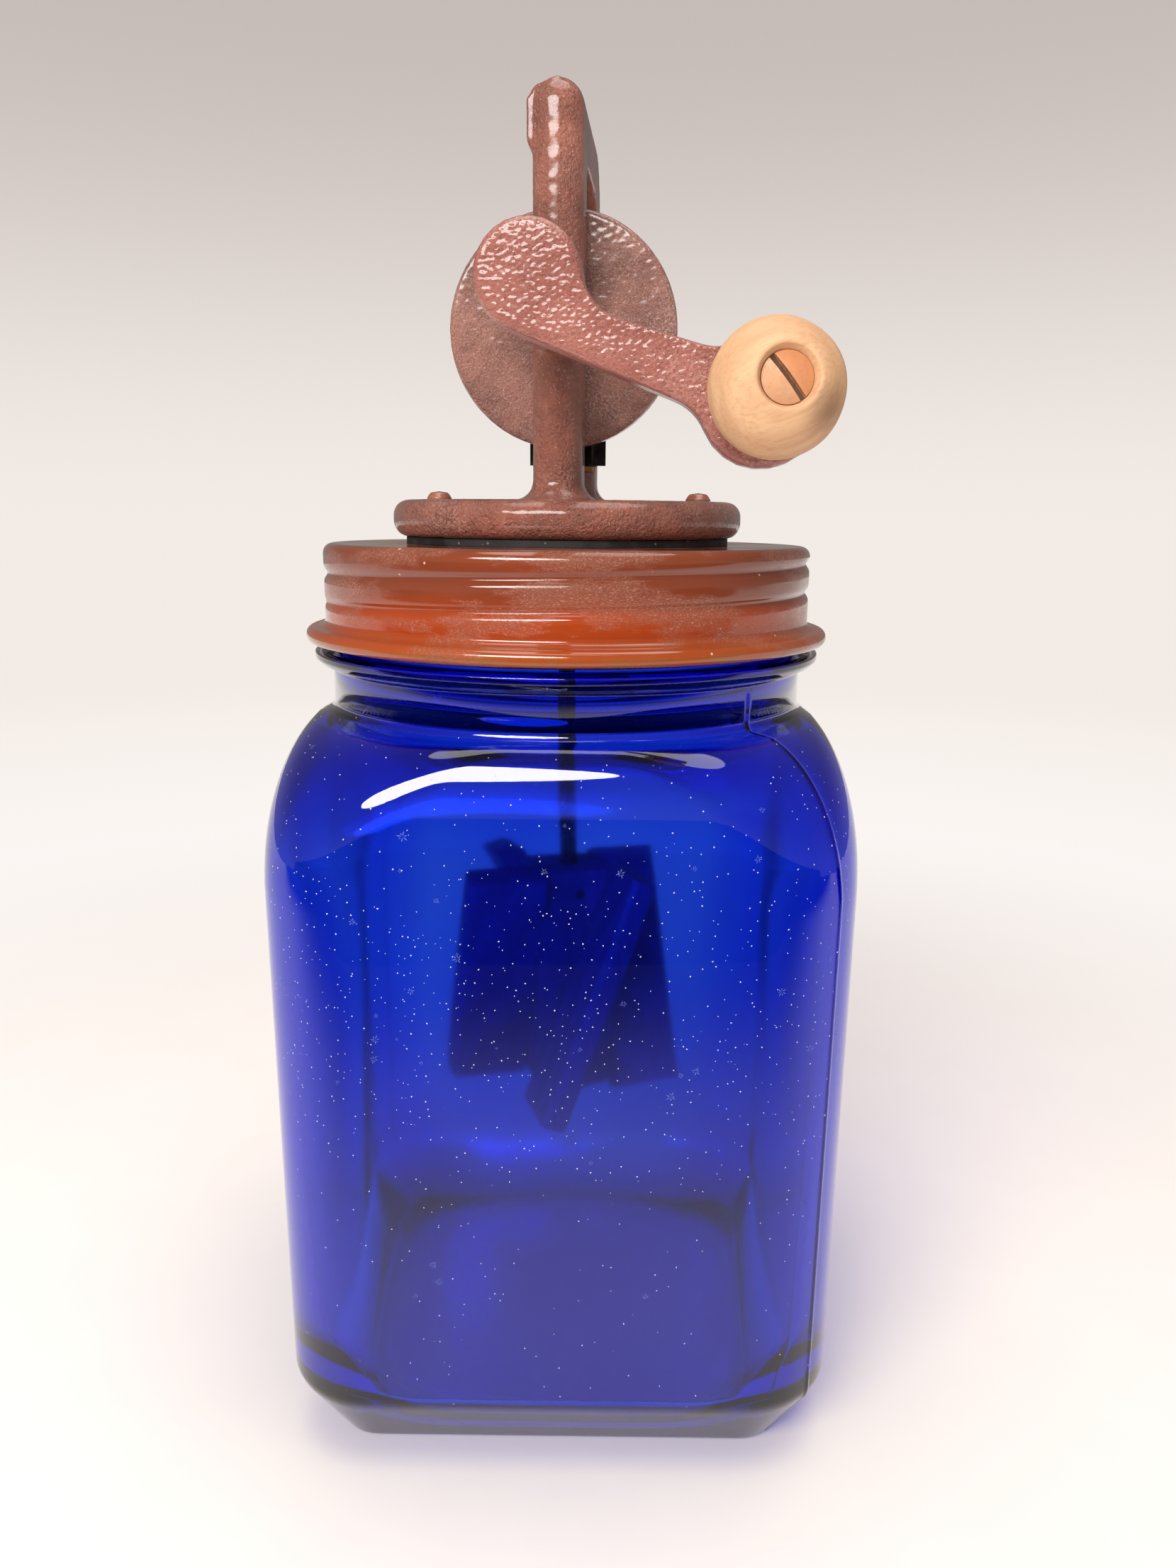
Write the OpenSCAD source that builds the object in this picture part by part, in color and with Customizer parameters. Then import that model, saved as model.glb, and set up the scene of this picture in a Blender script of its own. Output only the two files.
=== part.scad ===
// Glass jar butter churn: a square glass jar whose screw cap carries a hand-cranked wooden dasher.
// Millimetres, +Z up. The origin is the middle of the jar's foot, on the table.
// The crank axle runs along Y, and the crank is on the -Y side.

/* [Jar] */
// Width across the jar's faces at the widest height
jar_w = 124.4; // [118:0.2:140]
// Width across the faces just above the heel
jar_heel_w = 122; // [112:0.2:130]
// Width of the flat foot
jar_foot_w = 100; // [94:0.5:108]
// Radius of the upright corners
jar_corner_r = 20; // [14:0.5:26]
// Height of the rounded heel
jar_heel_h = 22; // [16:0.5:28]
// Height where the faces are widest
jar_widest_z = 137; // [120:0.5:146]
// Height where the corners start to lean in to the shoulder
jar_corner_z = 128; // [105:0.5:135]
// Height where the shoulder meets the neck
jar_shoulder_z = 163; // [156:0.5:166]
// Thickness of the glass walls
glass_t = 4; // [2.5:0.1:5]
// Thickness of the glass under the milk
glass_floor_t = 6; // [4:0.5:10]
// Turn of the jar under the cap, in degrees
jar_turn = 4; // [0:1:45]

/* [Neck] */
// Diameter of the neck
neck_d = 108.6; // [102:0.2:112]
// Diameter of the ring under the cap
ring_d = 116.6; // [110:0.2:119]
// Height of the neck between the shoulder and the ring
neck_h = 10.1; // [6:0.1:14]
// Height of the ring
ring_h = 3.1; // [2:0.1:4]
// Diameter of the glass inside the cap
finish_d = 106.4; // [100:0.2:107]
// Diameter of the mouth
mouth_d = 98; // [80:0.5:99]

/* [Screw cap] */
// Diameter of the cap's skirt, a 110 mm wide-mouth closure
cap_d = 111.5; // [110:0.1:115]
// Height of the cap's top face above the ring
cap_h = 23.2; // [21:0.1:27]
// Thickness of the cap's sheet
cap_t = 0.9; // [0.6:0.1:1.2]
// Radius of the cap's upper edge
cap_edge_r = 2.2; // [1:0.1:3]
// Height of the rolled bead's middle above the ring
bead_rise = 3.1; // [2.4:0.1:4.5]
// Thickness of the rolled bead
bead_d = 3.5; // [2.5:0.1:4]
// Outside diameter of the rolled bead
bead_od = 120.3; // [118:0.1:123]
// Radius of the groove between two thread rolls
roll_groove_r = 2.2; // [1.5:0.1:3]
// Depth of the groove between two thread rolls
roll_groove_depth = 0.6; // [0.2:0.05:0.8]
// Distance between the two grooves
roll_pitch = 6.3; // [5.5:0.1:7]
// Thickness of the seal on the rim
seal_t = 1.7; // [1:0.1:2.5]

/* [Casting] */
// Diameter of the round plate
plate_d = 79.6; // [70:0.2:90]
// Thickness of the round plate
plate_t = 8.1; // [5:0.1:9]
// Thickness of the black gasket under the plate
gasket_t = 1.5; // [1:0.1:3]
// Diameter of the black gasket
gasket_d = 74; // [68:0.5:78]
// Width of the arch
arch_w = 10.4; // [8:0.1:13]
// Overall depth of the arch along the axle
arch_depth = 56; // [54:0.5:66]
// Height of the arch above the drive gear
arch_rise = 21.1; // [18:0.1:32]
// Radius of the arch's outer bend at the back
arch_bend_r = 15; // [10:0.5:20]
// Depth of each leg along the axle
leg_depth = 12.4; // [9:0.1:12.6]
// Height of the grip's bar
grip_h = 12.8; // [10:0.1:14]
// Radius of the arch's inner bends
window_r = 7; // [3:0.5:10]
// How far the grip's pad stands out on its left side
pad_t = 1; // [0.6:0.1:2]
// Radius of the fillet where a leg meets the plate
foot_fillet_r = 4; // [2:0.1:6]
// Distance of each rivet from the middle
rivet_x = 30; // [24:0.5:33]
// Diameter of a rivet's head
rivet_head_d = 5.7; // [4:0.1:7]
// Height of a rivet's head
rivet_head_h = 2; // [1:0.1:3]
// Diameter of a rivet's shank
rivet_d = 3.2; // [2:0.1:3.8]

/* [Crank] */
// Height of the crank's axle above the plate
axle_rise = 35.6; // [34.5:0.1:37]
// Diameter of the axle
axle_d = 8; // [6:0.1:9]
// Distance of the arm's front face from the middle
arm_front = 75; // [72:0.5:90]
// Thickness of the arm
arm_t = 8; // [5:0.1:9]
// Radius of the arm's round end on the axle
arm_hub_r = 9.1; // [8.5:0.1:11]
// Radius of the arm's round end under the knob
arm_boss_r = 10.6; // [8:0.1:12]
// Distance from the axle to the knob
arm_throw = 44.3; // [38:0.1:60]
// Fall of the arm below level at rest, in degrees
arm_fall = 27; // [0:0.5:60]
// Rounding of the arm's front edge
arm_edge_r = 1.4; // [0.6:0.1:2]
// Radius of the hollow curves where the arm meets its round ends
arm_hollow_r = 9; // [5:0.5:14]
// Distance of the arm's lower edge from the knob's axis
arm_low_boss = 5; // [3:0.1:7]
// Distance of the arm's upper edge from the knob's axis
arm_high_boss = 6; // [4:0.1:8]
// Distance of the arm's upper edge below the axle's middle
arm_high_hub = 2.4; // [1:0.1:4]
// Front end of the bearing boss on the front leg
bearing_front = 50; // [40:0.5:56]
// Diameter of the bearing boss
bearing_d = 13; // [11:0.1:15]
// Thickness of a washer on the axle
washer_t = 1.6; // [1:0.1:1.8]
// Diameter of the fixing pins
pin_d = 2.5; // [1.5:0.1:3]

/* [Gears] */
// Teeth on the drive gear
gear_teeth = 24; // [24:1:24]
// Teeth on the pinion
pinion_teeth = 8; // [8:1:8]
// Diameter of the drive gear
gear_d = 49; // [48:0.1:50.5]
// Distance of the gear's front face from the middle
gear_front = 13.5; // [13:0.1:14]
// Thickness of the gear's disc
gear_t = 4.1; // [3:0.1:4.4]
// Radius where the teeth roll on each other, on the drive gear
gear_pitch_r = 21.5; // [21:0.1:22.2]
// Height of a tooth above and below the pitch line
tooth_reach = 1.5; // [1:0.1:1.6]
// Thickness of a tooth at the pitch line
tooth_t = 1.7; // [1.4:0.1:1.8]
// Slope of a tooth's flanks, in degrees
tooth_slope = 20; // [14:1:22]
// Length of the pinion's teeth
pinion_h = 9.4; // [7:0.1:10]

/* [Knob] */
// Diameter of the knob
knob_d = 21.6; // [18:0.1:26]
// Length of the knob along its screw
knob_l = 18.8; // [15:0.1:21]
// Tilt of the knob's screw upwards, in degrees
knob_up = 6; // [0:0.5:8]
// Tilt of the knob's screw to the right, in degrees
knob_side = 7; // [0:0.5:8]
// Diameter of the screw's shank
knob_screw_d = 4.8; // [3:0.1:6]
// Diameter of the screw's head
knob_head_d = 8; // [6.5:0.1:8.5]
// Depth of the recess for the head
knob_recess = 4.6; // [3:0.1:6]

/* [Dasher] */
// Diameter of the dasher's rod
rod_d = 4.2; // [3:0.1:5]
// Height of the rod's top end above the plate
rod_rise = 22; // [21:0.1:24]
// Length of the rod above the dasher
rod_l = 108; // [100:0.5:125]
// Height of the wooden hub
hub_h = 56; // [40:0.5:80]
// Width of the square hub
hub_w = 19; // [14:0.5:24]
// Length of a paddle
paddle_l = 62; // [40:0.5:80]
// Thickness of a paddle
paddle_t = 6.5; // [4:0.1:7.5]
// Reach of the paddles from the rod
paddle_r = 27; // [20:0.5:36]
// Lean of a paddle, in degrees
paddle_lean = 21.5; // [0:0.5:24]
// Diameter of the dowels that hold the paddles
dowel_d = 3; // [2:0.1:4]
// Turn of the dasher at rest, in degrees
dasher_turn = 23; // [0:1:45]

/* [Fits] */
// Radial clearance of a turning shaft
run_gap = 0.06; // [0.02:0.01:0.1]
// Clearance between pieces that are fixed together
seat_gap = 0.04; // [0:0.01:0.1]
// Clearance between faces that turn past each other
face_gap = 0.25; // [0.1:0.05:0.4]

/* [Hidden] */
$fn = 96;
// Small overlap that lets two forms of one piece fuse
fuse = 0.4;
// Length that is sure to cut right through
far = 400;

// Jar levels
jar_half = jar_w / 2;
heel_half = jar_heel_w / 2;
foot_half = jar_foot_w / 2;
neck_r = neck_d / 2;
mouth_r = mouth_d / 2;
finish_r = finish_d / 2;
heel_edge = 0.75;
corner_steps = 6;
heel_steps = 3;
shoulder_steps = 7;

// Cap levels
cap_r = cap_d / 2;
ring_z = jar_shoulder_z + neck_h;
ring_top_z = ring_z + ring_h;
bead_z = ring_top_z + bead_rise;
cap_top_z = ring_top_z + cap_h;
cap_under_z = cap_top_z - cap_t;
rim_z = cap_under_z - seal_t - 2 * seat_gap;
bead_r = bead_d / 2;
bead_mid_r = bead_od / 2 - bead_r;
cap_low_z = bead_z + 1.9 * bead_r;
roll_z = cap_top_z - cap_edge_r - 1.4 * roll_groove_r;

// Casting levels
gasket_z = cap_top_z;
plate_z = gasket_z + gasket_t;
plate_top_z = plate_z + plate_t;
axle_z = plate_top_z + axle_rise;
arch_top_z = axle_z + gear_d / 2 + arch_rise;
plate_r = plate_d / 2;
plate_edge_r = 0.42 * plate_t;
arch_half = arch_w / 2;
arch_front = arch_depth / 2;
leg_inner = arch_front - leg_depth;
window_top_z = arch_top_z - grip_h;
boss_top_z = plate_top_z + 6.5;
boss_r = 6.4;
boss_fillet_r = 2.6;
rivet_r = rivet_d / 2;
burr_t = 1;
burr_r = 0.8 * rivet_head_d;
peen_h = 1.2;
peen_r = 0.4 * rivet_head_d;

// Crank levels, as distances in front of the middle
axle_r = axle_d / 2;
arm_back = arm_front - arm_t;
arm_end = bearing_front + washer_t + 2 * face_gap;
axle_front = arm_back + 0.4 * arm_t;
axle_back = arch_front + 1.5;
arm_back_boss_r = bearing_d / 2 + 1.4;
pin_r = pin_d / 2;
boss_x = arm_throw * cos(arm_fall);
boss_z = axle_z - arm_throw * sin(arm_fall);

// Gear levels
gear_r = gear_d / 2;
gear_back = gear_front - gear_t;
gear_hub_r = axle_r + 3.6;
gear_hub_l = 10.5;
pinion_pitch_r = gear_pitch_r * pinion_teeth / gear_teeth;
tooth_root_clear = 0.45;
gear_tooth_outer_r = gear_r - 0.3;
gear_tooth_inner_r = gear_pitch_r - 2.9;
pinion_outer_r = pinion_pitch_r + tooth_reach;
pinion_root_r = pinion_pitch_r - tooth_reach - tooth_root_clear;
bush_flange_t = 1.2;
bush_flange_r = 6;
bush_r = rod_d / 2 + 1.9;
rod_top_z = plate_top_z + rod_rise;
bush_low_z = cap_under_z - 2.5;
pinion_z = boss_top_z + bush_flange_t + face_gap;
pinion_hub_r = rod_d / 2 + 2.6;
pinion_pin_r = 0.9;

// Knob levels along its screw, from the arm's front face
knob_r = knob_d / 2;
seat_r = 5.4;
seat_h = seat_r * sin(knob_up + knob_side) + 0.1;
knob_washer_t = 0.8;
knob_base = seat_h + knob_washer_t + face_gap;
knob_tip = knob_base + knob_l;
knob_mid = knob_tip - knob_r;
knob_head_t = 2.4;
recess_r = knob_head_d / 2 + 0.7;
recess_floor = knob_tip - knob_recess;
recess_flare = 2.5;
screw_r = knob_screw_d / 2;
screw_tail = arm_t + 1.2;
screw_slot_w = 1;
screw_slot_angle = 38;

// Dasher levels
rod_r = rod_d / 2;
collar_h = 5.5;
collar_r = rod_r + 2.9;
collar_z = bush_low_z - face_gap - collar_h;
dasher_top_z = rod_top_z - rod_l;
hub_low_z = dasher_top_z - hub_h;
hub_mid_z = dasher_top_z - hub_h / 2;
rod_low_z = hub_low_z + 8;
paddle_root = hub_w / 2 + seat_gap;
dowel_r = dowel_d / 2;
dowel_l = 10;
dowel_rise = 0.2 * hub_h;
paddle_chamfer = 1.2;
dasher_pin_r = 1.1;
dasher_pin_drop = 6;
dasher_pin_turn = dasher_turn + 90;

// Value between a and b at the share t
function lerp(a, b, t) = a + (b - a) * t;

// Quarter circle: 1 at t = 0, level, and 0 at t = 1, upright
function arc(t) = sqrt(max(0, 1 - t * t));

// Width of the tapered foot at the share t of its height: straight up to its edge, then rounded
function heel_share(t) =
    t < heel_edge ? t * 2 / (1 + heel_edge) : 1 - (1 - t) * (1 - t) / (1 - heel_edge * heel_edge);

// Half width of the jar at height z. The inside has an inset, a base and a neck of its own.
function jar_face(z, inset, base, neck, top) =
    z < base + jar_heel_h
        ? lerp(foot_half, heel_half, heel_share((z - base) / jar_heel_h)) - inset
    : z < jar_widest_z
        ? lerp(heel_half, jar_half, (z - base - jar_heel_h) / (jar_widest_z - base - jar_heel_h)) - inset
        : lerp(neck, jar_half - inset, arc((z - jar_widest_z) / (top - jar_widest_z)));

// Distance from the middle to the jar's corner where the shoulder starts
function corner_reach(inset) = (jar_half - jar_corner_r) * sqrt(2) + jar_corner_r - inset;

// Corner radius of the jar at height z, for a half width w
function jar_corner(z, w, inset, base, neck, top) =
    z < base + jar_heel_h
        ? jar_corner_r - (heel_half - inset - w) - inset
    : z < jar_corner_z
        ? jar_corner_r - inset
        : let (reach = lerp(neck, corner_reach(inset), arc((z - jar_corner_z) / (top - jar_corner_z))))
          min(w - 0.6, max(jar_corner_r - inset, (sqrt(2) * w - reach) / (sqrt(2) - 1)));

// One level of the jar: a square of half width w with corners of radius r
function square_ring(w, r, z) = [
    for (quarter = [0:3], step = [0:corner_steps])
        let (
            angle = 90 * (quarter + step / corner_steps),
            side_x = quarter == 0 || quarter == 3 ? 1 : -1,
            side_y = quarter < 2 ? 1 : -1
        )
        [side_x * (w - r) + r * cos(angle), side_y * (w - r) + r * sin(angle), z]
];

// Heights of the jar's levels between its base and the top of its shoulder
function jar_levels(base, top) = concat(
    [base, for (k = [0:heel_steps]) base + jar_heel_h * lerp(heel_edge, 1, k / heel_steps)],
    [jar_corner_z, (jar_corner_z + jar_widest_z) / 2],
    [for (k = [0:shoulder_steps]) lerp(jar_widest_z, top, sin(90 * k / shoulder_steps))]
);

// Skin over a stack of rings that have the same number of points
module loft(rings) {
    count = len(rings[0]);
    last = len(rings) - 1;
    polyhedron(
        points = [for (ring = rings, point = ring) point],
        faces = concat(
            [[for (k = [0:count - 1]) k]],
            [
                for (level = [0:last - 1], k = [0:count - 1], half = [0, 1])
                    let (a = level * count + k, b = level * count + (k + 1) % count)
                    half == 0 ? [a, a + count, b + count] : [a, b + count, b]
            ],
            [[for (k = [count - 1:-1:0]) last * count + k]]
        )
    );
}

// Square body of the jar, from its base to just inside its neck
module jar_body(inset, base, neck, top) {
    loft([
        for (z = jar_levels(base, top))
            let (w = jar_face(z, inset, base, neck, top))
            square_ring(w, jar_corner(z, w, inset, base, neck, top), z)
    ]);
}

// Cylinder along Y between two distances in front of the middle
module front_cylinder(r, from, to, x = 0, z = axle_z) {
    translate([x, -from, z]) rotate([90, 0, 0]) cylinder(r = r, h = to - from);
}

// Flat ring along Z
module flat_ring(outer_r, inner_r, z, h) {
    translate([0, 0, z]) difference() {
        cylinder(r = outer_r, h = h);
        translate([0, 0, -1]) cylinder(r = inner_r, h = h + 2);
    }
}

// Flat ring along Y
module front_ring(outer_r, inner_r, from, to, x = 0, z = axle_z) {
    difference() {
        front_cylinder(outer_r, from, to, x, z);
        front_cylinder(inner_r, from - 1, to + 1, x, z);
    }
}

// Section of a hollow fillet, in the corner at the origin
module fillet_section(r) {
    difference() {
        translate([-fuse, -fuse]) square(r + fuse);
        translate([r, r]) circle(r = r);
    }
}

// Drawing of a rounded bar: width along X, height along Y, centred
module round_rect(w, h, r) {
    square([w - 2 * r, h], center = true);
    square([w, h - 2 * r], center = true);
    for (x = [-1, 1], y = [-1, 1]) translate([x * (w / 2 - r), y * (h / 2 - r)]) circle(r = r);
}

// Pressed jar of blue glass
module glass_jar() {
    inner_top = jar_shoulder_z - glass_t;
    color("mediumblue") rotate([0, 0, jar_turn]) difference() {
        union() {
            jar_body(0, 0, neck_r + fuse, jar_shoulder_z);
            jar_neck();
        }
        jar_body(glass_t, glass_floor_t, mouth_r + fuse, inner_top);
        translate([0, 0, inner_top - 2 * glass_t]) cylinder(r = mouth_r, h = far);
    }
}

// Neck, ring and rim of the jar, still solid
module jar_neck() {
    low_z = jar_shoulder_z - 2 * glass_t;
    lip = 1.2;
    rotate_extrude() polygon([
        [0, low_z], [neck_r, low_z], [neck_r, ring_z - lip], [ring_d / 2 - lip, ring_z], [ring_d / 2, ring_z + lip],
        [ring_d / 2, ring_top_z - lip / 2], [ring_d / 2 - lip, ring_top_z], [finish_r, ring_top_z],
        [finish_r, rim_z - lip], [finish_r - lip, rim_z], [0, rim_z]
    ]);
}

// Seal that lies on the glass rim inside the cap
module cap_seal() {
    color("gainsboro") flat_ring(finish_r - 0.4, mouth_r + 0.8, rim_z + seat_gap, seal_t);
}

// Pressed screw cap with thread rolls and a rolled bead
module screw_cap() {
    color("sienna") difference() {
        union() {
            rotate_extrude() difference() {
                cap_outline();
                cap_hollow();
            }
            rotate_extrude() cap_flare();
            rotate_extrude() translate([bead_mid_r, bead_z]) circle(r = bead_r);
        }
        translate([0, 0, cap_under_z - 1]) cylinder(r = bush_r + face_gap, h = cap_t + 2);
        rivet_holes(cap_under_z - 1, cap_t + 2);
    }
}

// Places of the grooves between the thread rolls
module roll_circles(r) {
    for (k = [0, 1]) translate([cap_r + roll_groove_r - roll_groove_depth, roll_z - k * roll_pitch]) circle(r = r);
}

// Outside of the cap's top and skirt, as a half section
module cap_outline() {
    difference() {
        union() {
            translate([0, cap_low_z]) square([cap_r, cap_top_z - cap_low_z - cap_edge_r]);
            translate([0, cap_low_z]) square([cap_r - cap_edge_r, cap_top_z - cap_low_z]);
            translate([cap_r - cap_edge_r, cap_top_z - cap_edge_r]) circle(r = cap_edge_r);
        }
        roll_circles(roll_groove_r);
    }
}

// Room inside the cap's skirt, as a half section
module cap_hollow() {
    difference() {
        translate([0, cap_low_z - 1]) square([cap_r - cap_t, cap_under_z - cap_low_z + 1]);
        roll_circles(roll_groove_r + cap_t);
    }
}

// Flare of the skirt out to the bead, as a half section
module cap_flare() {
    polygon([
        [cap_r - cap_t, cap_low_z + fuse], [cap_r, cap_low_z + fuse], [cap_r, cap_low_z],
        [bead_mid_r, bead_z + 0.85 * bead_r], [bead_mid_r, bead_z], [bead_mid_r - cap_t, bead_z],
        [cap_r - cap_t, cap_low_z]
    ]);
}

// Holes for the two rivets
module rivet_holes(z, h) {
    for (side = [-1, 1]) translate([side * rivet_x, 0, z]) cylinder(r = rivet_r + seat_gap, h = h);
}

// Black gasket between cap and casting
module base_gasket() {
    color("black") difference() {
        flat_ring(gasket_d / 2, bush_r + face_gap, gasket_z + seat_gap, gasket_t - 2 * seat_gap);
        rivet_holes(gasket_z - 1, gasket_t + 2);
    }
}

// Cast plate, arch, grip and bearing boss in one piece
module frame() {
    color("saddlebrown") difference() {
        union() {
            frame_plate();
            frame_arch();
            for (side = [-1, 1]) leg_fillet(side);
            front_cylinder(bearing_d / 2, arch_front - leg_depth / 2, bearing_front);
            front_cylinder(bearing_d / 2, -axle_back + 0.5, -arch_front + leg_depth / 2);
        }
        front_cylinder(axle_r + run_gap, -far, far);
        translate([0, 0, plate_z - 1]) cylinder(r = bush_r + seat_gap, h = boss_top_z - plate_z + 2);
        rivet_holes(plate_z - 1, plate_t + 2);
    }
}

// Round plate with a rounded edge and the boss that the rod goes through
module frame_plate() {
    rotate_extrude() {
        translate([0, plate_z]) square([plate_r - plate_edge_r, plate_t]);
        translate([0, plate_z + plate_edge_r]) square([plate_r, plate_t - 2 * plate_edge_r]);
        for (z = [plate_z + plate_edge_r, plate_top_z - plate_edge_r])
            translate([plate_r - plate_edge_r, z]) circle(r = plate_edge_r);
        translate([0, plate_top_z - 1]) square([boss_r, boss_top_z - plate_top_z + 1]);
        translate([boss_r, plate_top_z]) fillet_section(boss_fillet_r);
    }
}

// Arch with half-round outer edges and its window. Its front bend is tight and its back bend wide.
module frame_arch() {
    bend_r = arch_bend_r - arch_half;
    edge_y = arch_front - arch_half;
    edge_z = arch_top_z - arch_half;
    bend_y = edge_y - bend_r;
    bend_z = edge_z - bend_r;
    low_z = plate_top_z - 1;
    difference() {
        union() {
            rotate([90, 0, 90]) linear_extrude(height = arch_w, center = true) {
                translate([-edge_y, low_z]) square([2 * edge_y, bend_z - low_z]);
                translate([-edge_y, low_z]) square([edge_y + bend_y, edge_z - low_z]);
                translate([bend_y, bend_z]) circle(r = bend_r);
            }
            translate([0, -edge_y, low_z]) cylinder(r = arch_half, h = edge_z - low_z);
            translate([0, -edge_y, edge_z]) sphere(r = arch_half);
            translate([0, bend_y, edge_z]) rotate([90, 0, 0]) cylinder(r = arch_half, h = edge_y + bend_y);
            translate([0, edge_y, low_z]) cylinder(r = arch_half, h = bend_z - low_z);
            translate([0, bend_y, bend_z]) rotate([0, 90, 0])
                rotate_extrude() translate([bend_r, 0]) circle(r = arch_half);
            grip_pad(bend_y);
        }
        rotate([90, 0, 90]) linear_extrude(height = far, center = true) {
            translate([-leg_inner, plate_top_z]) square([2 * leg_inner, window_top_z - window_r - plate_top_z]);
            translate([-leg_inner + window_r, plate_top_z])
                square([2 * (leg_inner - window_r), window_top_z - plate_top_z]);
            for (side = [-1, 1]) translate([side * (leg_inner - window_r), window_top_z - window_r])
                circle(r = window_r);
        }
    }
}

// Thickened left side of the grip, sloped on top, from the front leg to the back bend
module grip_pad(back) {
    side = -arch_half - pad_t;
    front = arch_front - 2.5 * pad_t;
    translate([0, back, 0]) rotate([90, 0, 0]) linear_extrude(height = front + back) polygon([
        [0, window_top_z - 1], [0, arch_top_z - 0.1], [-0.86 * arch_half, arch_top_z - 0.36 * arch_half],
        [side, arch_top_z - 0.8 * arch_half], [side, window_top_z + pad_t], [-arch_half, window_top_z - 1]
    ]);
}

// Hollow fillet round the outer side of a leg's foot
module leg_fillet(side) {
    edge_y = arch_front - arch_half;
    translate([0, side * edge_y, plate_top_z]) rotate_extrude()
        translate([arch_half, 0]) fillet_section(foot_fillet_r);
    for (flank = [0, 1]) mirror([flank, 0, 0])
        translate([arch_half, side * edge_y, plate_top_z]) rotate([90, 0, side > 0 ? 0 : 180])
            mirror([side > 0 ? 0 : 1, 0, 0]) linear_extrude(height = edge_y - leg_inner)
                fillet_section(foot_fillet_r);
}

// Two rivets with domed heads, peened under the cap
module frame_rivets() {
    color("saddlebrown") for (side = [-1, 1]) translate([side * rivet_x, 0, 0]) {
        head_z = plate_top_z + seat_gap;
        foot_z = cap_under_z - burr_t - seat_gap * 3;
        translate([0, 0, head_z]) rotate_extrude() {
            square([rivet_head_d / 2, rivet_head_h * 0.4]);
            intersection() {
                translate([0, -rivet_head_d * 0.36]) circle(r = rivet_head_d * 0.36 + rivet_head_h);
                square([rivet_head_d / 2, rivet_head_h]);
            }
        }
        translate([0, 0, foot_z - peen_h / 2]) cylinder(r = rivet_r, h = head_z - foot_z + peen_h);
        translate([0, 0, foot_z - peen_h]) cylinder(r1 = rivet_r, r2 = peen_r, h = peen_h);
    }
}

// Small washers that the rivets are peened over
module rivet_burrs() {
    color("gray") for (side = [-1, 1]) translate([side * rivet_x, 0, 0])
        flat_ring(burr_r, rivet_r + seat_gap, cap_under_z - burr_t - seat_gap, burr_t);
}

// Flanged bush that the dasher's rod turns in
module rod_bush() {
    color("darkgoldenrod") difference() {
        union() {
            translate([0, 0, bush_low_z]) cylinder(r = bush_r, h = boss_top_z - bush_low_z + fuse);
            translate([0, 0, boss_top_z + seat_gap]) cylinder(r = bush_flange_r, h = bush_flange_t - seat_gap);
        }
        translate([0, 0, bush_low_z - 1]) cylinder(r = rod_r + run_gap, h = far);
    }
}

// Unit vector at an angle, in the drawing of the arm: axle at the origin, knob on the X axis
function heading(angle) = [cos(angle), sin(angle)];

// Slopes of the bar's two edges. The lower one is tangent to the round end on the axle.
arm_low_slope = asin((arm_hub_r - arm_low_boss) / arm_throw);
arm_high_slope = asin((arm_high_boss + arm_high_hub) / arm_throw);

// Middle of the hollow curve beside a round end of radius r, outside an edge at a distance from its middle
function hollow_middle(end_x, r, edge, slope, up, toward) =
    let (reach = edge + arm_hollow_r)
    [end_x, 0] + heading(slope + 90) * up * reach
        + heading(slope) * toward * sqrt(pow(r + arm_hollow_r, 2) - pow(reach, 2));

hollow_axle = hollow_middle(0, arm_hub_r, -arm_high_hub, arm_high_slope, 1, 1);
hollow_knob_high = hollow_middle(arm_throw, arm_boss_r, arm_high_boss, arm_high_slope, 1, -1);
hollow_knob_low = hollow_middle(arm_throw, arm_boss_r, arm_low_boss, arm_low_slope, -1, -1);

// Angle of the line from one point of the drawing to another
function bearing(from, to) = atan2(to[1] - from[1], to[0] - from[0]);

// Points of an arc from one angle to another, without its end points where it meets another arc
function arc_points(middle, r, from, to, first, last, steps) =
    [for (k = [first:last]) middle + heading(lerp(from, to, k / steps)) * r];

// Outline of the arm, drawn in from its edge by an inset
function arm_outline(inset) =
    let (
        knob = [arm_throw, 0],
        axle_from = bearing([0, 0], hollow_axle),
        knob_from = bearing(knob, hollow_knob_low),
        knob_to = bearing(knob, hollow_knob_high),
        hollow = arm_hollow_r + inset
    )
    concat(
        arc_points([0, 0], arm_hub_r - inset, axle_from, 270 + arm_low_slope, 0, 18, 18),
        arc_points(hollow_knob_low, hollow, 90 + arm_low_slope, knob_from + 180, 0, 5, 6),
        arc_points(knob, arm_boss_r - inset, knob_from, knob_to, 0, 18, 18),
        arc_points(hollow_knob_high, hollow, knob_to - 180, -90 + arm_high_slope, 1, 6, 6),
        arc_points(hollow_axle, hollow, -90 + arm_high_slope, axle_from - 180, 0, 7, 8)
    );

// Cast plate of the arm, lofted so that its front edge is rounded
module arm_plate() {
    steps = 4;
    loft(concat(
        [[for (p = arm_outline(arm_edge_r / 2)) [p[0], p[1], 0]]],
        [[for (p = arm_outline(0)) [p[0], p[1], arm_edge_r / 2]]],
        [
            for (k = [0:steps])
                let (rise = arm_edge_r * sin(90 * k / steps), inset = arm_edge_r * (1 - cos(90 * k / steps)))
                [for (p = arm_outline(inset)) [p[0], p[1], arm_t - arm_edge_r + rise]]
        ]
    ));
}

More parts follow.
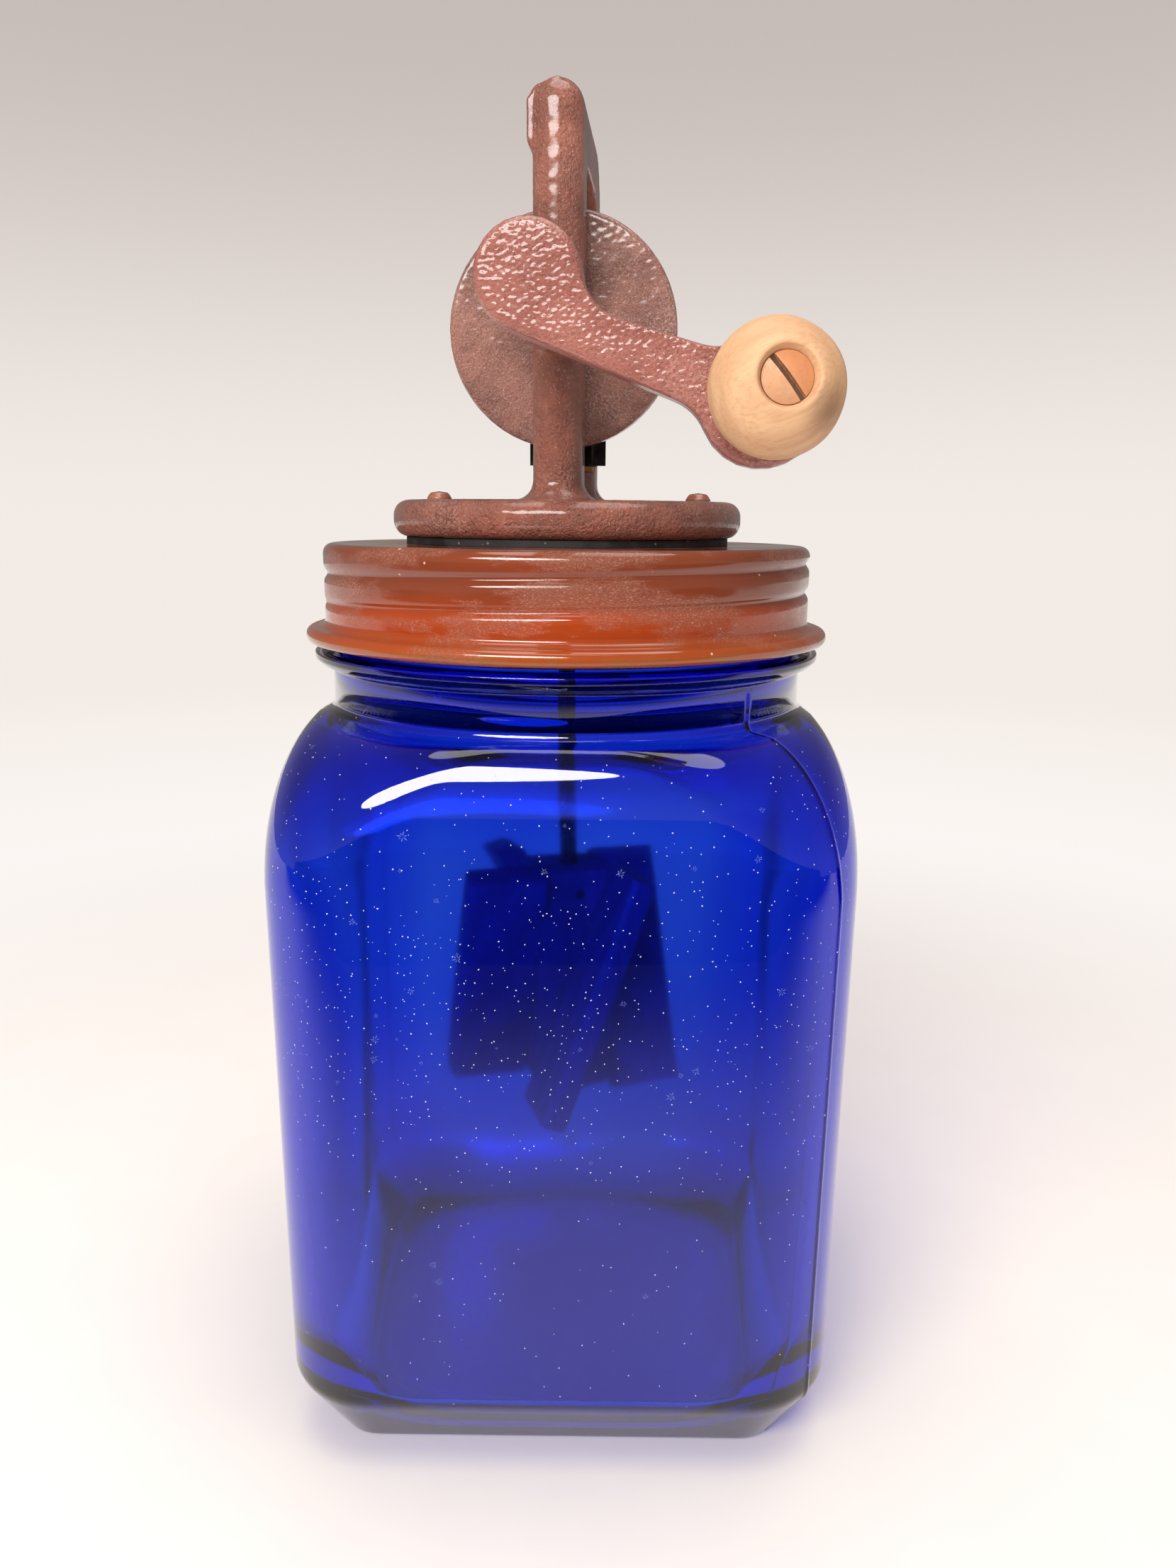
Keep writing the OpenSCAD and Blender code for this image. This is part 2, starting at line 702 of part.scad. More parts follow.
// Cast S-shaped crank arm, with its boss on the axle behind
module crank_arm() {
    color("sienna") difference() {
        union() {
            translate([0, -arm_back, axle_z]) rotate([90, 0, 0]) rotate([0, 0, -arm_fall]) arm_plate();
            front_cylinder(arm_back_boss_r, arm_end, arm_back + fuse);
            on_knob_axis() translate([0, 0, -arm_t / 2]) cylinder(r = seat_r, h = arm_t / 2 + seat_h);
        }
        front_cylinder(axle_r + seat_gap, arm_end - 1, axle_front + seat_gap);
        on_knob_axis() cylinder(r = screw_r + seat_gap, h = 4 * arm_t, center = true);
        cross_pin(pin_r + seat_gap, (arm_end + arm_back) / 2, far);
    }
}

// Places a form drawn along Z on the axis of the knob's screw, from the arm's front face
module on_knob_axis() {
    translate([boss_x, -arm_front, boss_z]) rotate([90 - knob_up, 0, knob_side]) children();
}

// Pin across the axle at a distance in front of the middle
module cross_pin(r, front, length) {
    translate([0, -front, axle_z]) cylinder(r = r, h = length, center = true);
}

// Axle through both legs
module crank_axle() {
    color("dimgray") difference() {
        front_cylinder(axle_r, -axle_back, axle_front);
        cross_pin(pin_r + seat_gap, (arm_end + arm_back) / 2, far);
        cross_pin(pin_r + seat_gap, gear_pin_front, far);
    }
}

// Pin that drives the axle from the arm
module crank_pin() {
    color("dimgray") cross_pin(pin_r, (arm_end + arm_back) / 2, 2 * arm_back_boss_r);
}

// Washer between the arm's boss and the bearing boss
module thrust_washer() {
    color("silver") front_ring(
        bearing_d / 2, axle_r + seat_gap, bearing_front + face_gap, bearing_front + face_gap + washer_t
    );
}

// Washer between the gear and the front leg
module gear_washer() {
    color("silver") front_ring(
        arch_half, axle_r + seat_gap, gear_front + seat_gap, leg_inner - face_gap
    );
}

// Place of the gear's pin
gear_pin_front = gear_back - gear_hub_l * 0.6;

// Section of a gear tooth: foot at y = 0, pitch line at y = pitch, tip at y = tip
module tooth_section(pitch, tip) {
    slope = tan(tooth_slope);
    foot_w = tooth_t / 2 + pitch * slope;
    tip_w = tooth_t / 2 - (tip - pitch) * slope;
    polygon([[-foot_w, -fuse], [foot_w, -fuse], [foot_w, 0], [tip_w, tip], [-tip_w, tip], [-foot_w, 0]]);
}

// Cast crown gear: plain in front, teeth round the back of its rim
module drive_gear() {
    pitch = gear_back - pinion_pitch_r;
    color("saddlebrown") difference() {
        union() {
            gear_disc();
            front_cylinder(gear_hub_r, gear_back - gear_hub_l, gear_back + fuse);
            translate([0, -gear_back, axle_z]) for (k = [0:gear_teeth - 1])
                rotate([0, 360 * (k + 0.5) / gear_teeth, 0]) translate([0, 0, gear_tooth_inner_r])
                    linear_extrude(height = gear_tooth_outer_r - gear_tooth_inner_r)
                        tooth_section(pitch, pitch + tooth_reach);
        }
        front_cylinder(axle_r + seat_gap, -far, far);
        cross_pin(pin_r + seat_gap, gear_pin_front, far);
    }
}

// Disc of the gear with a rounded front edge
module gear_disc() {
    edge_r = 0.25 * gear_t;
    translate([0, -gear_back, axle_z]) rotate([90, 0, 0]) rotate_extrude() {
        square([gear_r, gear_t - edge_r]);
        square([gear_r - edge_r, gear_t]);
        translate([gear_r - edge_r, gear_t - edge_r]) circle(r = edge_r);
    }
}

// Pin that fixes the gear to the axle
module gear_pin() {
    color("dimgray") cross_pin(pin_r, gear_pin_front, 2 * gear_hub_r);
}

// Thin washer between the knob and its seat on the arm
module knob_washer() {
    color("silver") on_knob_axis()
        flat_ring(0.42 * knob_r, screw_r + seat_gap, seat_h + seat_gap, knob_washer_t - seat_gap);
}

// Slotted screw that the knob turns on
module knob_screw() {
    head_low = recess_floor + face_gap;
    color("peru") on_knob_axis() difference() {
        union() {
            translate([0, 0, -screw_tail]) cylinder(r = screw_r, h = screw_tail + head_low + fuse);
            translate([0, 0, head_low]) rotate_extrude() {
                square([knob_head_d / 2, 0.45 * knob_head_t]);
                intersection() {
                    translate([0, -1.5 * knob_head_d + knob_head_t]) circle(r = 1.5 * knob_head_d);
                    square([knob_head_d / 2, knob_head_t]);
                }
            }
        }
        translate([0, 0, head_low + knob_head_t]) rotate([0, 0, screw_slot_angle])
            cube([screw_slot_w, 2 * knob_head_d, knob_head_t], center = true);
    }
}

// Turned wooden ball, bored for its screw
module knob() {
    base = knob_mid - knob_base;
    color("burlywood") on_knob_axis() difference() {
        translate([0, 0, knob_mid]) rotate_extrude() intersection() {
            circle(r = knob_r);
            translate([0, -base]) square([knob_r, base + knob_r]);
        }
        cylinder(r = screw_r + run_gap, h = far);
        translate([0, 0, recess_floor]) cylinder(r = recess_r, h = far);
        translate([0, 0, recess_floor + 1.5])
            cylinder(r1 = recess_r - 0.5, r2 = recess_r + recess_flare, h = knob_recess);
    }
}

// Pin across the rod at a height
module rod_pin(r, z, length) {
    translate([0, 0, z]) rotate([0, 90, 0]) cylinder(r = r, h = length, center = true);
}

// Heights of the pins across the rod
pinion_pin_z = (pinion_z + pinion_h + rod_top_z) / 2;
collar_pin_z = collar_z + collar_h / 2;
dasher_pin_z = dasher_top_z - dasher_pin_drop;

// Rod from the pinion down into the dasher's hub
module dasher_rod() {
    color("dimgray") difference() {
        translate([0, 0, rod_low_z]) cylinder(r = rod_r, h = rod_top_z - rod_low_z);
        rod_pin(pinion_pin_r + seat_gap, pinion_pin_z, far);
        rod_pin(pinion_pin_r + seat_gap, collar_pin_z, far);
        rotate([0, 0, dasher_pin_turn]) rod_pin(dasher_pin_r + seat_gap, dasher_pin_z, far);
    }
}

// Small black gear with a hub above its teeth
module pinion() {
    color("black") difference() {
        union() {
            translate([0, 0, pinion_z]) linear_extrude(height = pinion_h) {
                circle(r = pinion_root_r);
                for (k = [0:pinion_teeth - 1]) rotate(-180 + 360 * k / pinion_teeth)
                    translate([0, pinion_root_r]) tooth_section(
                        pinion_pitch_r - pinion_root_r, pinion_outer_r - pinion_root_r
                    );
            }
            translate([0, 0, pinion_z + pinion_h - fuse])
                cylinder(r = pinion_hub_r, h = rod_top_z - pinion_z - pinion_h + fuse);
        }
        translate([0, 0, pinion_z - 1]) cylinder(r = rod_r + seat_gap, h = far);
        rod_pin(pinion_pin_r + seat_gap, pinion_pin_z, far);
    }
}

// Pin that fixes the pinion to the rod
module pinion_pin() {
    color("dimgray") rod_pin(pinion_pin_r, pinion_pin_z, 2 * pinion_hub_r);
}

// Collar that keeps the rod from rising
module rod_collar() {
    color("dimgray") difference() {
        flat_ring(collar_r, rod_r + seat_gap, collar_z, collar_h);
        rod_pin(pinion_pin_r + seat_gap, collar_pin_z, far);
    }
}

// Pin that fixes the collar to the rod
module collar_pin() {
    color("dimgray") rod_pin(pinion_pin_r, collar_pin_z, 2 * collar_r);
}

// Two dowels between the hub and the paddle that points along -Y
module dowel_pair(r) {
    for (side = [-1, 1])
        translate([side * dowel_rise * tan(paddle_lean), -hub_w / 2, hub_mid_z + side * dowel_rise])
            rotate([90, 0, 0]) cylinder(r = r, h = dowel_l, center = true);
}

// Square wooden hub, bored for the rod, its pin and the dowels
module dasher_hub() {
    color("tan") difference() {
        rotate([0, 0, dasher_turn]) difference() {
            translate([-hub_w / 2, -hub_w / 2, hub_low_z]) cube([hub_w, hub_w, hub_h]);
            for (k = [0:3]) rotate([0, 0, 90 * k]) dowel_pair(dowel_r + seat_gap);
        }
        translate([0, 0, rod_low_z - seat_gap]) cylinder(r = rod_r + seat_gap, h = far);
        rotate([0, 0, dasher_pin_turn]) rod_pin(dasher_pin_r + seat_gap, dasher_pin_z, far);
    }
}

// Dowels of all four paddles
module paddle_dowels() {
    color("burlywood") for (k = [0:3]) rotate([0, 0, dasher_turn + 90 * k]) dowel_pair(dowel_r);
}

// Pin that holds the hub on the rod, flush with two faces of the hub
module dasher_pin() {
    color("dimgray") rotate([0, 0, dasher_pin_turn]) rod_pin(dasher_pin_r, dasher_pin_z, hub_w);
}

// Pitched wooden paddle number k, butted on its face of the hub
module paddle(k) {
    half_t = paddle_t / 2;
    edge = paddle_chamfer;
    color("burlywood") rotate([0, 0, dasher_turn + 90 * k]) difference() {
        translate([0, 0, hub_mid_z]) rotate([0, paddle_lean, 0])
            linear_extrude(height = paddle_l, center = true) polygon([
                [-half_t, -paddle_root], [half_t, -paddle_root], [half_t, -paddle_r + edge],
                [half_t - edge, -paddle_r], [-half_t + edge, -paddle_r], [-half_t, -paddle_r + edge]
            ]);
        dowel_pair(dowel_r + seat_gap);
    }
}

glass_jar();
cap_seal();
screw_cap();
base_gasket();
frame();
frame_rivets();
rivet_burrs();
rod_bush();
crank_arm();
crank_axle();
crank_pin();
thrust_washer();
gear_washer();
drive_gear();
gear_pin();
knob_washer();
knob_screw();
knob();
dasher_rod();
pinion();
pinion_pin();
rod_collar();
collar_pin();
dasher_hub();
dasher_pin();
paddle_dowels();
paddle(0);  // paddle_1
paddle(1);  // paddle_2
paddle(2);  // paddle_3
paddle(3);  // paddle_4
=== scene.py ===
"""Looks of a glass jar butter churn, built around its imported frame.

Lengths are metres in the part's own frame: the jar stands on z = 0, the crank
is in front, at -Y, and its knob is on the right, at +X.
"""

import logging
import math
from dataclasses import dataclass
from enum import Enum
from typing import Callable, Sequence

import bmesh
import bpy
from mathutils import Matrix, Vector
from mathutils import noise as hills


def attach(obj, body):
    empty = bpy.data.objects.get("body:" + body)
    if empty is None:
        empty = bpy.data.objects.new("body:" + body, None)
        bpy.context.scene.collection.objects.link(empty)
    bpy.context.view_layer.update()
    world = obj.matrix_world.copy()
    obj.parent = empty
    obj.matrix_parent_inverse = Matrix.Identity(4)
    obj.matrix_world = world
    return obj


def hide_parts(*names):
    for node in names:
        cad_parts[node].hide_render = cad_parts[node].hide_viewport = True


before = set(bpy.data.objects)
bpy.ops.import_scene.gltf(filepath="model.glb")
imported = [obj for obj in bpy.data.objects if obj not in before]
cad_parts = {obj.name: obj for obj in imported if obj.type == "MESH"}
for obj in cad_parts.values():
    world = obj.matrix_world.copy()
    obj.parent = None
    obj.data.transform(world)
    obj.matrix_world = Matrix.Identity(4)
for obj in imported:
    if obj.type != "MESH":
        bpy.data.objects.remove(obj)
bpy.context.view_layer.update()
log = logging.getLogger("churn")

MM = 0.001
Colour = tuple[float, float, float]
Profile = list[tuple[float, float]]
Level = tuple[float, float, float]
Swell = Callable[[float, float, float], float]
Node, Socket, Tree = bpy.types.Node, bpy.types.NodeSocket, bpy.types.NodeTree
Thing = bpy.types.Object


class Body(Enum):
    """Bodies of the part that the rebuilt pieces ride on."""

    JAR = "jar"
    TOP = "top"
    CRANK = "crank"
    KNOB = "knob"
    DASHER = "dasher"


class Slot(Enum):
    """Material slots of the part's record."""

    GLASS = "cobalt_glass"
    CAP = "cap_paint"
    CASTING = "casting_paint"
    KNOB = "knob_wood"
    DASHER = "dasher_wood"


def linear(red: int, green: int, blue: int) -> Colour:
    """Turns a screen colour into scene-linear values.

    Args:
        red: Red from 0 to 255.
        green: Green from 0 to 255.
        blue: Blue from 0 to 255.

    Returns:
        The three linear values.
    """
    def one(level: int) -> float:
        """Linear value of one channel."""
        share = level / 255
        return share / 12.92 if share <= 0.04045 else ((share + 0.055) / 1.055) ** 2.4

    return one(red), one(green), one(blue)


def between(first: float, last: float, count: int) -> list[float]:
    """Returns the ends of count even steps from the first value to the last."""
    return [first + (last - first) * k / count for k in range(count + 1)]


def circle(count: int) -> list[float]:
    """Returns even directions all round, from 0."""
    return [math.tau * k / count for k in range(count)]


def polar(r: float, angle: float, z: float) -> Vector:
    """Returns the point at a radius, a direction and a height."""
    return Vector((r * math.cos(angle), r * math.sin(angle), z))


# ---------------------------------------------------------------- node trees


class Wires:
    """Adds nodes to one tree and links them."""

    def __init__(self, tree: Tree) -> None:
        """Keeps the tree that the nodes go into."""
        self.tree = tree

    def node(self, kind: str, inputs: dict | None = None, **settings: object) -> Node:
        """Adds a node.

        Args:
            kind: Type name of the node.
            inputs: Values or sockets by the input's name or number.
            **settings: Attributes of the node.

        Returns:
            The new node.
        """
        made = self.tree.nodes.new(kind)
        for name, value in settings.items():
            setattr(made, name, value)
        for key, value in (inputs or {}).items():
            self.feed(made.inputs[key], value)
        return made

    def feed(self, socket: Socket, value: object) -> None:
        """Links a socket to another one, or gives it a plain value."""
        if isinstance(value, Socket):
            self.tree.links.new(value, socket)
        elif isinstance(value, tuple) and len(value) == 3 and socket.type == "RGBA":
            socket.default_value = (*value, 1.0)
        else:
            socket.default_value = value

    def math(self, operation: str, *values: object, clamp: bool = False) -> Socket:
        """Adds a Math node and returns its result."""
        inputs = dict(enumerate(values))
        return self.node("ShaderNodeMath", inputs, operation=operation, use_clamp=clamp).outputs[0]

    def times(self, first: object, second: object, clamp: bool = False) -> Socket:
        """Multiplies two values and returns the product."""
        return self.math("MULTIPLY", first, second, clamp=clamp)

    def plus(self, first: object, second: object) -> Socket:
        """Adds two values and returns the sum."""
        return self.math("ADD", first, second)

    def minus(self, first: object, second: object) -> Socket:
        """Takes one value from another and returns the rest."""
        return self.math("SUBTRACT", first, second)

    def ramp(
        self, value: object, low: float, high: float, to_low: float = 0.0, to_high: float = 1.0
    ) -> Socket:
        """Maps a value smoothly from one range to another and returns it."""
        inputs = {"Value": value, 1: low, 2: high, 3: to_low, 4: to_high}
        return self.node("ShaderNodeMapRange", inputs, interpolation_type="SMOOTHSTEP").outputs[0]

    def vector(self, operation: str, first: object, second: object) -> Socket:
        """Adds a Vector Math node and returns its number, or its vector where it gives one."""
        made = self.node("ShaderNodeVectorMath", {0: first, 1: second}, operation=operation)
        return made.outputs["Value" if operation in ("DISTANCE", "DOT_PRODUCT") else "Vector"]

    def split(self, vector: object) -> bpy.types.NodeOutputs:
        """Splits coordinates and returns X, Y and Z."""
        return self.node("ShaderNodeSeparateXYZ", {0: vector}).outputs

    def about_z(self, angle: Socket) -> Socket:
        """Returns the rotation about Z by an angle."""
        turn = self.node("ShaderNodeCombineXYZ", {2: angle}).outputs[0]
        return self.node("FunctionNodeEulerToRotation", {0: turn}).outputs[0]

    def blend(self, share: object, first: object, second: object) -> Socket:
        """Mixes two colours and returns the colour."""
        mixer = self.node("ShaderNodeMix", data_type="RGBA")
        for index, value in ((0, share), (6, first), (7, second)):
            self.feed(mixer.inputs[index], value)
        return mixer.outputs[2]

    def tint(self, mask: object, share: float, under: object, over: object) -> Socket:
        """Lays a colour over another one by a share of a mask and returns the colour."""
        return self.blend(self.times(mask, share), under, over)

    def noise(self, vector: object, scale: object, detail: float = 3.0, rough: float = 0.55) -> Socket:
        """Adds a Noise Texture and returns its value."""
        inputs = {"Vector": vector, "Scale": scale, "Detail": detail, "Roughness": rough}
        return self.node("ShaderNodeTexNoise", inputs).outputs[0]

    def stretched(self, vector: object, scale: Sequence[float], turn: Sequence[float] = (0, 0, 0)) -> Socket:
        """Turns and scales coordinates and returns them."""
        inputs = {"Vector": vector, "Scale": tuple(scale), "Rotation": tuple(turn)}
        return self.node("ShaderNodeMapping", inputs).outputs[0]


def bare_tree(owner: bpy.types.Material | bpy.types.World) -> Wires:
    """Empties the node tree of a material or a world and returns its wires."""
    owner.use_nodes = True
    owner.node_tree.nodes.clear()
    return Wires(owner.node_tree)


def new_group(name: str, inputs: dict[str, float | None], outputs: Sequence[str]) -> tuple[Wires, dict, dict]:
    """Starts a shader node group.

    Args:
        name: Name of the group.
        inputs: Default of each input by name, None for a vector.
        outputs: Names of its values.

    Returns:
        The wires, the input sockets by name and the output sockets by name.
    """
    tree = bpy.data.node_groups.new(name, "ShaderNodeTree")
    for label, default in inputs.items():
        kind = "NodeSocketVector" if default is None else "NodeSocketFloat"
        socket = tree.interface.new_socket(label, in_out="INPUT", socket_type=kind)
        if default is not None:
            socket.default_value = default
    for label in outputs:
        tree.interface.new_socket(label, in_out="OUTPUT", socket_type="NodeSocketFloat")
    wires = Wires(tree)
    ins = wires.node("NodeGroupInput").outputs
    outs = wires.node("NodeGroupOutput").inputs
    return wires, {s.name: s for s in ins if s.name}, {s.name: s for s in outs if s.name}


def specks_group() -> Tree:
    """Builds the group of scattered specks: a mask of round dots."""
    inputs = {"Vector": None, "Scale": 700.0, "Share": 0.1, "Size": 0.25}
    wires, ins, outs = new_group("dust_specks", inputs, ["Mask"])
    cells = wires.node("ShaderNodeTexVoronoi", {"Vector": ins["Vector"], "Scale": ins["Scale"]})
    tint = wires.node("ShaderNodeSeparateColor", {0: cells.outputs["Color"]})
    chosen = wires.math("LESS_THAN", tint.outputs[0], ins["Share"])
    reach = wires.times(ins["Size"], wires.plus(tint.outputs[1], 0.4))
    near = wires.minus(reach, cells.outputs["Distance"])
    dot = wires.ramp(near, 0.0, 0.08)
    wires.feed(outs["Mask"], wires.times(chosen, dot))
    return wires.tree


def sand_group() -> Tree:
    """Builds the group of sand-cast skin: its height, its pits and its glints."""
    inputs = {"Vector": None, "Grain": 1100.0}
    wires, ins, outs = new_group("sand_cast_skin", inputs, ["Height", "Pits", "Glints"])
    fine = wires.noise(ins["Vector"], ins["Grain"], 4.0, 0.6)
    broad = wires.noise(ins["Vector"], wires.times(ins["Grain"], 0.32), 3.0, 0.5)
    height = wires.plus(wires.times(fine, 0.6), wires.times(broad, 0.4))
    wires.feed(outs["Height"], height)
    wires.feed(outs["Pits"], wires.ramp(height, 0.5, 0.34))
    glint = wires.noise(ins["Vector"], wires.times(ins["Grain"], 2.1), 2.0, 0.5)
    wires.feed(outs["Glints"], wires.ramp(glint, 0.58, 0.72))
    return wires.tree


def drift_group() -> Tree:
    """Builds the group of dry overspray: soft patches filled with fine grains."""
    inputs = {"Vector": None, "Scale": 60.0, "Amount": 0.5, "Grain": 2600.0}
    wires, ins, outs = new_group("dry_overspray", inputs, ["Patch", "Grain"])
    patch = wires.noise(ins["Vector"], ins["Scale"], 4.0, 0.6)
    edge = wires.minus(0.75, wires.times(ins["Amount"], 0.4))
    soft = wires.ramp(wires.minus(patch, edge), -0.06, 0.09)
    wires.feed(outs["Patch"], soft)
    grain = wires.noise(ins["Vector"], ins["Grain"], 2.0, 0.6)
    wires.feed(outs["Grain"], wires.times(soft, wires.ramp(grain, 0.46, 0.62)))
    return wires.tree


def grain_group() -> Tree:
    """Builds the group of wood grain, which runs along the vector's X."""
    inputs = {"Vector": None, "Rings": 160.0, "Fibres": 900.0}
    wires, ins, outs = new_group("wood_grain", inputs, ["Tone", "Fibre", "Pores"])
    long_way = wires.stretched(ins["Vector"], (0.12, 1.0, 1.0))
    bend = wires.noise(long_way, wires.times(ins["Rings"], 0.5), 2.0, 0.5)
    phase = wires.plus(wires.times(wires.split(long_way)[1], ins["Rings"]), wires.times(bend, 3.0))
    bands = wires.plus(wires.times(wires.math("SINE", wires.times(phase, 6.28)), 0.5), 0.5)
    wires.feed(outs["Tone"], bands)
    thin = wires.stretched(ins["Vector"], (0.05, 1.0, 1.0))
    fibre = wires.noise(thin, ins["Fibres"], 3.0, 0.65)
    wires.feed(outs["Fibre"], fibre)
    wires.feed(outs["Pores"], wires.ramp(fibre, 0.62, 0.72))
    return wires.tree


def rub_group() -> Tree:
    """Builds the group of rubbed places: blotches and thin scratches."""
    wires, ins, outs = new_group("rubbed_places", {"Vector": None, "Scale": 120.0}, ["Blotch", "Scratch"])
    blotch = wires.noise(ins["Vector"], ins["Scale"], 4.0, 0.6)
    wires.feed(outs["Blotch"], wires.ramp(blotch, 0.42, 0.66))
    fine = wires.stretched(ins["Vector"], (1.0, 0.08, 1.0), (0.4, 0.2, 0.7))
    scratch = wires.noise(fine, wires.times(ins["Scale"], 14.0), 1.0)
    wires.feed(outs["Scratch"], wires.ramp(scratch, 0.66, 0.72))
    return wires.tree


class Effects:
    """Shared shader groups, each built once."""

    _made: dict[str, Tree] = {}
    _makers: dict[str, Callable[[], Tree]] = {
        "specks": specks_group,
        "sand": sand_group,
        "drift": drift_group,
        "grain": grain_group,
        "rub": rub_group,
    }

    @classmethod
    def use(cls, wires: Wires, name: str, vector: object, **inputs: float) -> bpy.types.NodeOutputs:
        """Places a shared group in a material.

        Args:
            wires: Wires of the material.
            name: Short name of the group.
            vector: Coordinates that it reads.
            **inputs: Values of its other inputs.

        Returns:
            The outputs of the placed group.
        """
        if name not in cls._made:
            cls._made[name] = cls._makers[name]()
        placed = wires.node("ShaderNodeGroup", node_tree=cls._made[name])
        wires.feed(placed.inputs["Vector"], vector)
        for key, value in inputs.items():
            wires.feed(placed.inputs[key], value)
        return placed.outputs


# ------------------------------------------------------------------ finishes


class Surface:
    """A material in the making: its nodes, its Principled shader and its object coordinates."""

    def __init__(self, wires: Wires) -> None:
        """Adds the shader, the output and the coordinates to an empty material."""
        self.wires = wires
        self.shader = wires.node("ShaderNodeBsdfPrincipled")
        self.end = wires.node("ShaderNodeOutputMaterial", {"Surface": self.shader.outputs[0]})
        self.place = wires.node("ShaderNodeTexCoord").outputs["Object"]

    def set(self, **values: object) -> None:
        """Gives inputs of the shader sockets or plain values, by name with _ for a space."""
        for name, value in values.items():
            self.wires.feed(self.shader.inputs[name.replace("_", " ")], value)

    def use(self, effect: str, vector: object, **inputs: float) -> bpy.types.NodeOutputs:
        """Places a shared effect in the material and returns its outputs."""
        return Effects.use(self.wires, effect, vector, **inputs)

    def bump(self, height: object, depth: float, strength: float = 1.0) -> None:
        """Gives the shader relief from a height, depth metres high."""
        inputs = {"Height": height, "Distance": depth, "Strength": strength}
        self.set(Normal=self.wires.node("ShaderNodeBump", inputs).outputs[0])


class Finish:
    """A finish that makes its Blender material once."""

    name: str
    _made: dict[str, bpy.types.Material] = {}

    def material(self) -> bpy.types.Material:
        """Returns the finish's material, made on first use."""
        if self.name not in Finish._made:
            made = bpy.data.materials.new(self.name)
            self.dress(Surface(bare_tree(made)))
            Finish._made[self.name] = made
        return Finish._made[self.name]

    def dress(self, on: Surface) -> None:
        """Adds the finish's own nodes to a surface."""
        raise NotImplementedError


@dataclass(frozen=True)
class CobaltGlass(Finish):
    """Deep blue glass that takes its colour from its thickness."""

    name: str = "cobalt_glass"
    density: float = 620.0
    colour: Colour = (0.0, 0.37, 0.932)
    lamp_tint: Colour = (0.30, 0.34, 0.95)
    bloom: float = 0.11

    def dress(self, on: Surface) -> None:
        """Clear surface with faint smears, over a blue inside that lets lamps through."""
        wires, place = on.wires, on.place
        on.set(Base_Color=(1.0, 1.0, 1.0, 1.0), Transmission_Weight=1.0, IOR=1.52)
        on.set(Coat_Weight=0.45, Coat_Roughness=0.03)
        smear = on.use("rub", place, Scale=55.0)
        inner = wires.node("ShaderNodeAttribute", attribute_name="inner").outputs["Fac"]
        rough = wires.plus(0.012, wires.times(smear["Blotch"], 0.03))
        rough = wires.plus(rough, wires.times(inner, self.bloom))
        on.set(Roughness=rough)
        path = wires.node("ShaderNodeLightPath")
        soft = wires.math("MAXIMUM", path.outputs["Is Shadow Ray"], path.outputs["Is Diffuse Ray"])
        clear = wires.node("ShaderNodeBsdfTransparent")
        clear.inputs["Color"].default_value = (*self.lamp_tint, 1.0)
        both = wires.node("ShaderNodeMixShader", {0: soft, 1: on.shader.outputs[0], 2: clear.outputs[0]})
        wires.feed(on.end.inputs["Surface"], both.outputs[0])
        inside = wires.node("ShaderNodeVolumeAbsorption")
        inside.inputs["Color"].default_value = (*self.colour, 1.0)
        inside.inputs["Density"].default_value = self.density
        wires.feed(on.end.inputs["Volume"], inside.outputs[0])


@dataclass(frozen=True)
class CapPaint(Finish):
    """Glossy rust-brown paint on sheet metal, with dry overspray and a worn bead."""

    name: str = "cap_paint"
    colour: Colour = linear(160, 62, 22)
    dark: Colour = linear(120, 56, 34)
    dry: Colour = linear(196, 132, 108)
    worn: Colour = linear(142, 84, 36)
    dust: Colour = linear(232, 208, 196)
    skirt: tuple[float, float] = (0.1835, 0.194)
    skirt_tone: tuple[float, float] = (0.32, -0.3)

    def dress(self, on: Surface) -> None:
        """Paint over sheet metal with drifts of dry spray and pale dust."""
        wires, place = on.wires, on.place
        level = wires.stretched(place, (1.0, 1.0, 3.0))
        drift = on.use("drift", level, Scale=34.0, Amount=0.56, Grain=1900.0)
        tone = wires.noise(level, 18.0, 3.0, 0.5)
        height = wires.ramp(wires.split(place)[2], *self.skirt, *self.skirt_tone)
        paint = wires.blend(wires.ramp(wires.plus(tone, height), 0.2, 0.85), self.dark, self.colour)
        paint = wires.tint(drift["Patch"], 0.1, paint, self.dry)
        paint = wires.tint(drift["Grain"], 0.6, paint, self.dry)
        edge = wires.node("ShaderNodeAttribute", attribute_name="worn").outputs["Fac"]
        rub = on.use("rub", place, Scale=150.0)
        bare = wires.times(edge, wires.plus(wires.times(rub["Blotch"], 0.6), 0.5), clamp=True)
        paint = wires.blend(bare, paint, self.worn)
        specks = on.use("specks", place, Scale=520.0, Share=0.05, Size=0.16)
        on.set(Base_Color=wires.tint(specks["Mask"], 0.7, paint, self.dust))
        rough = wires.plus(0.09, wires.times(drift["Patch"], 0.24))
        rough = wires.plus(rough, wires.times(rub["Blotch"], 0.05))
        on.set(Roughness=rough, Coat_Weight=0.6, Coat_Roughness=0.04)
        relief = wires.plus(wires.times(drift["Grain"], 0.6), wires.times(tone, 0.6))
        on.bump(relief, 0.0002, 0.9)


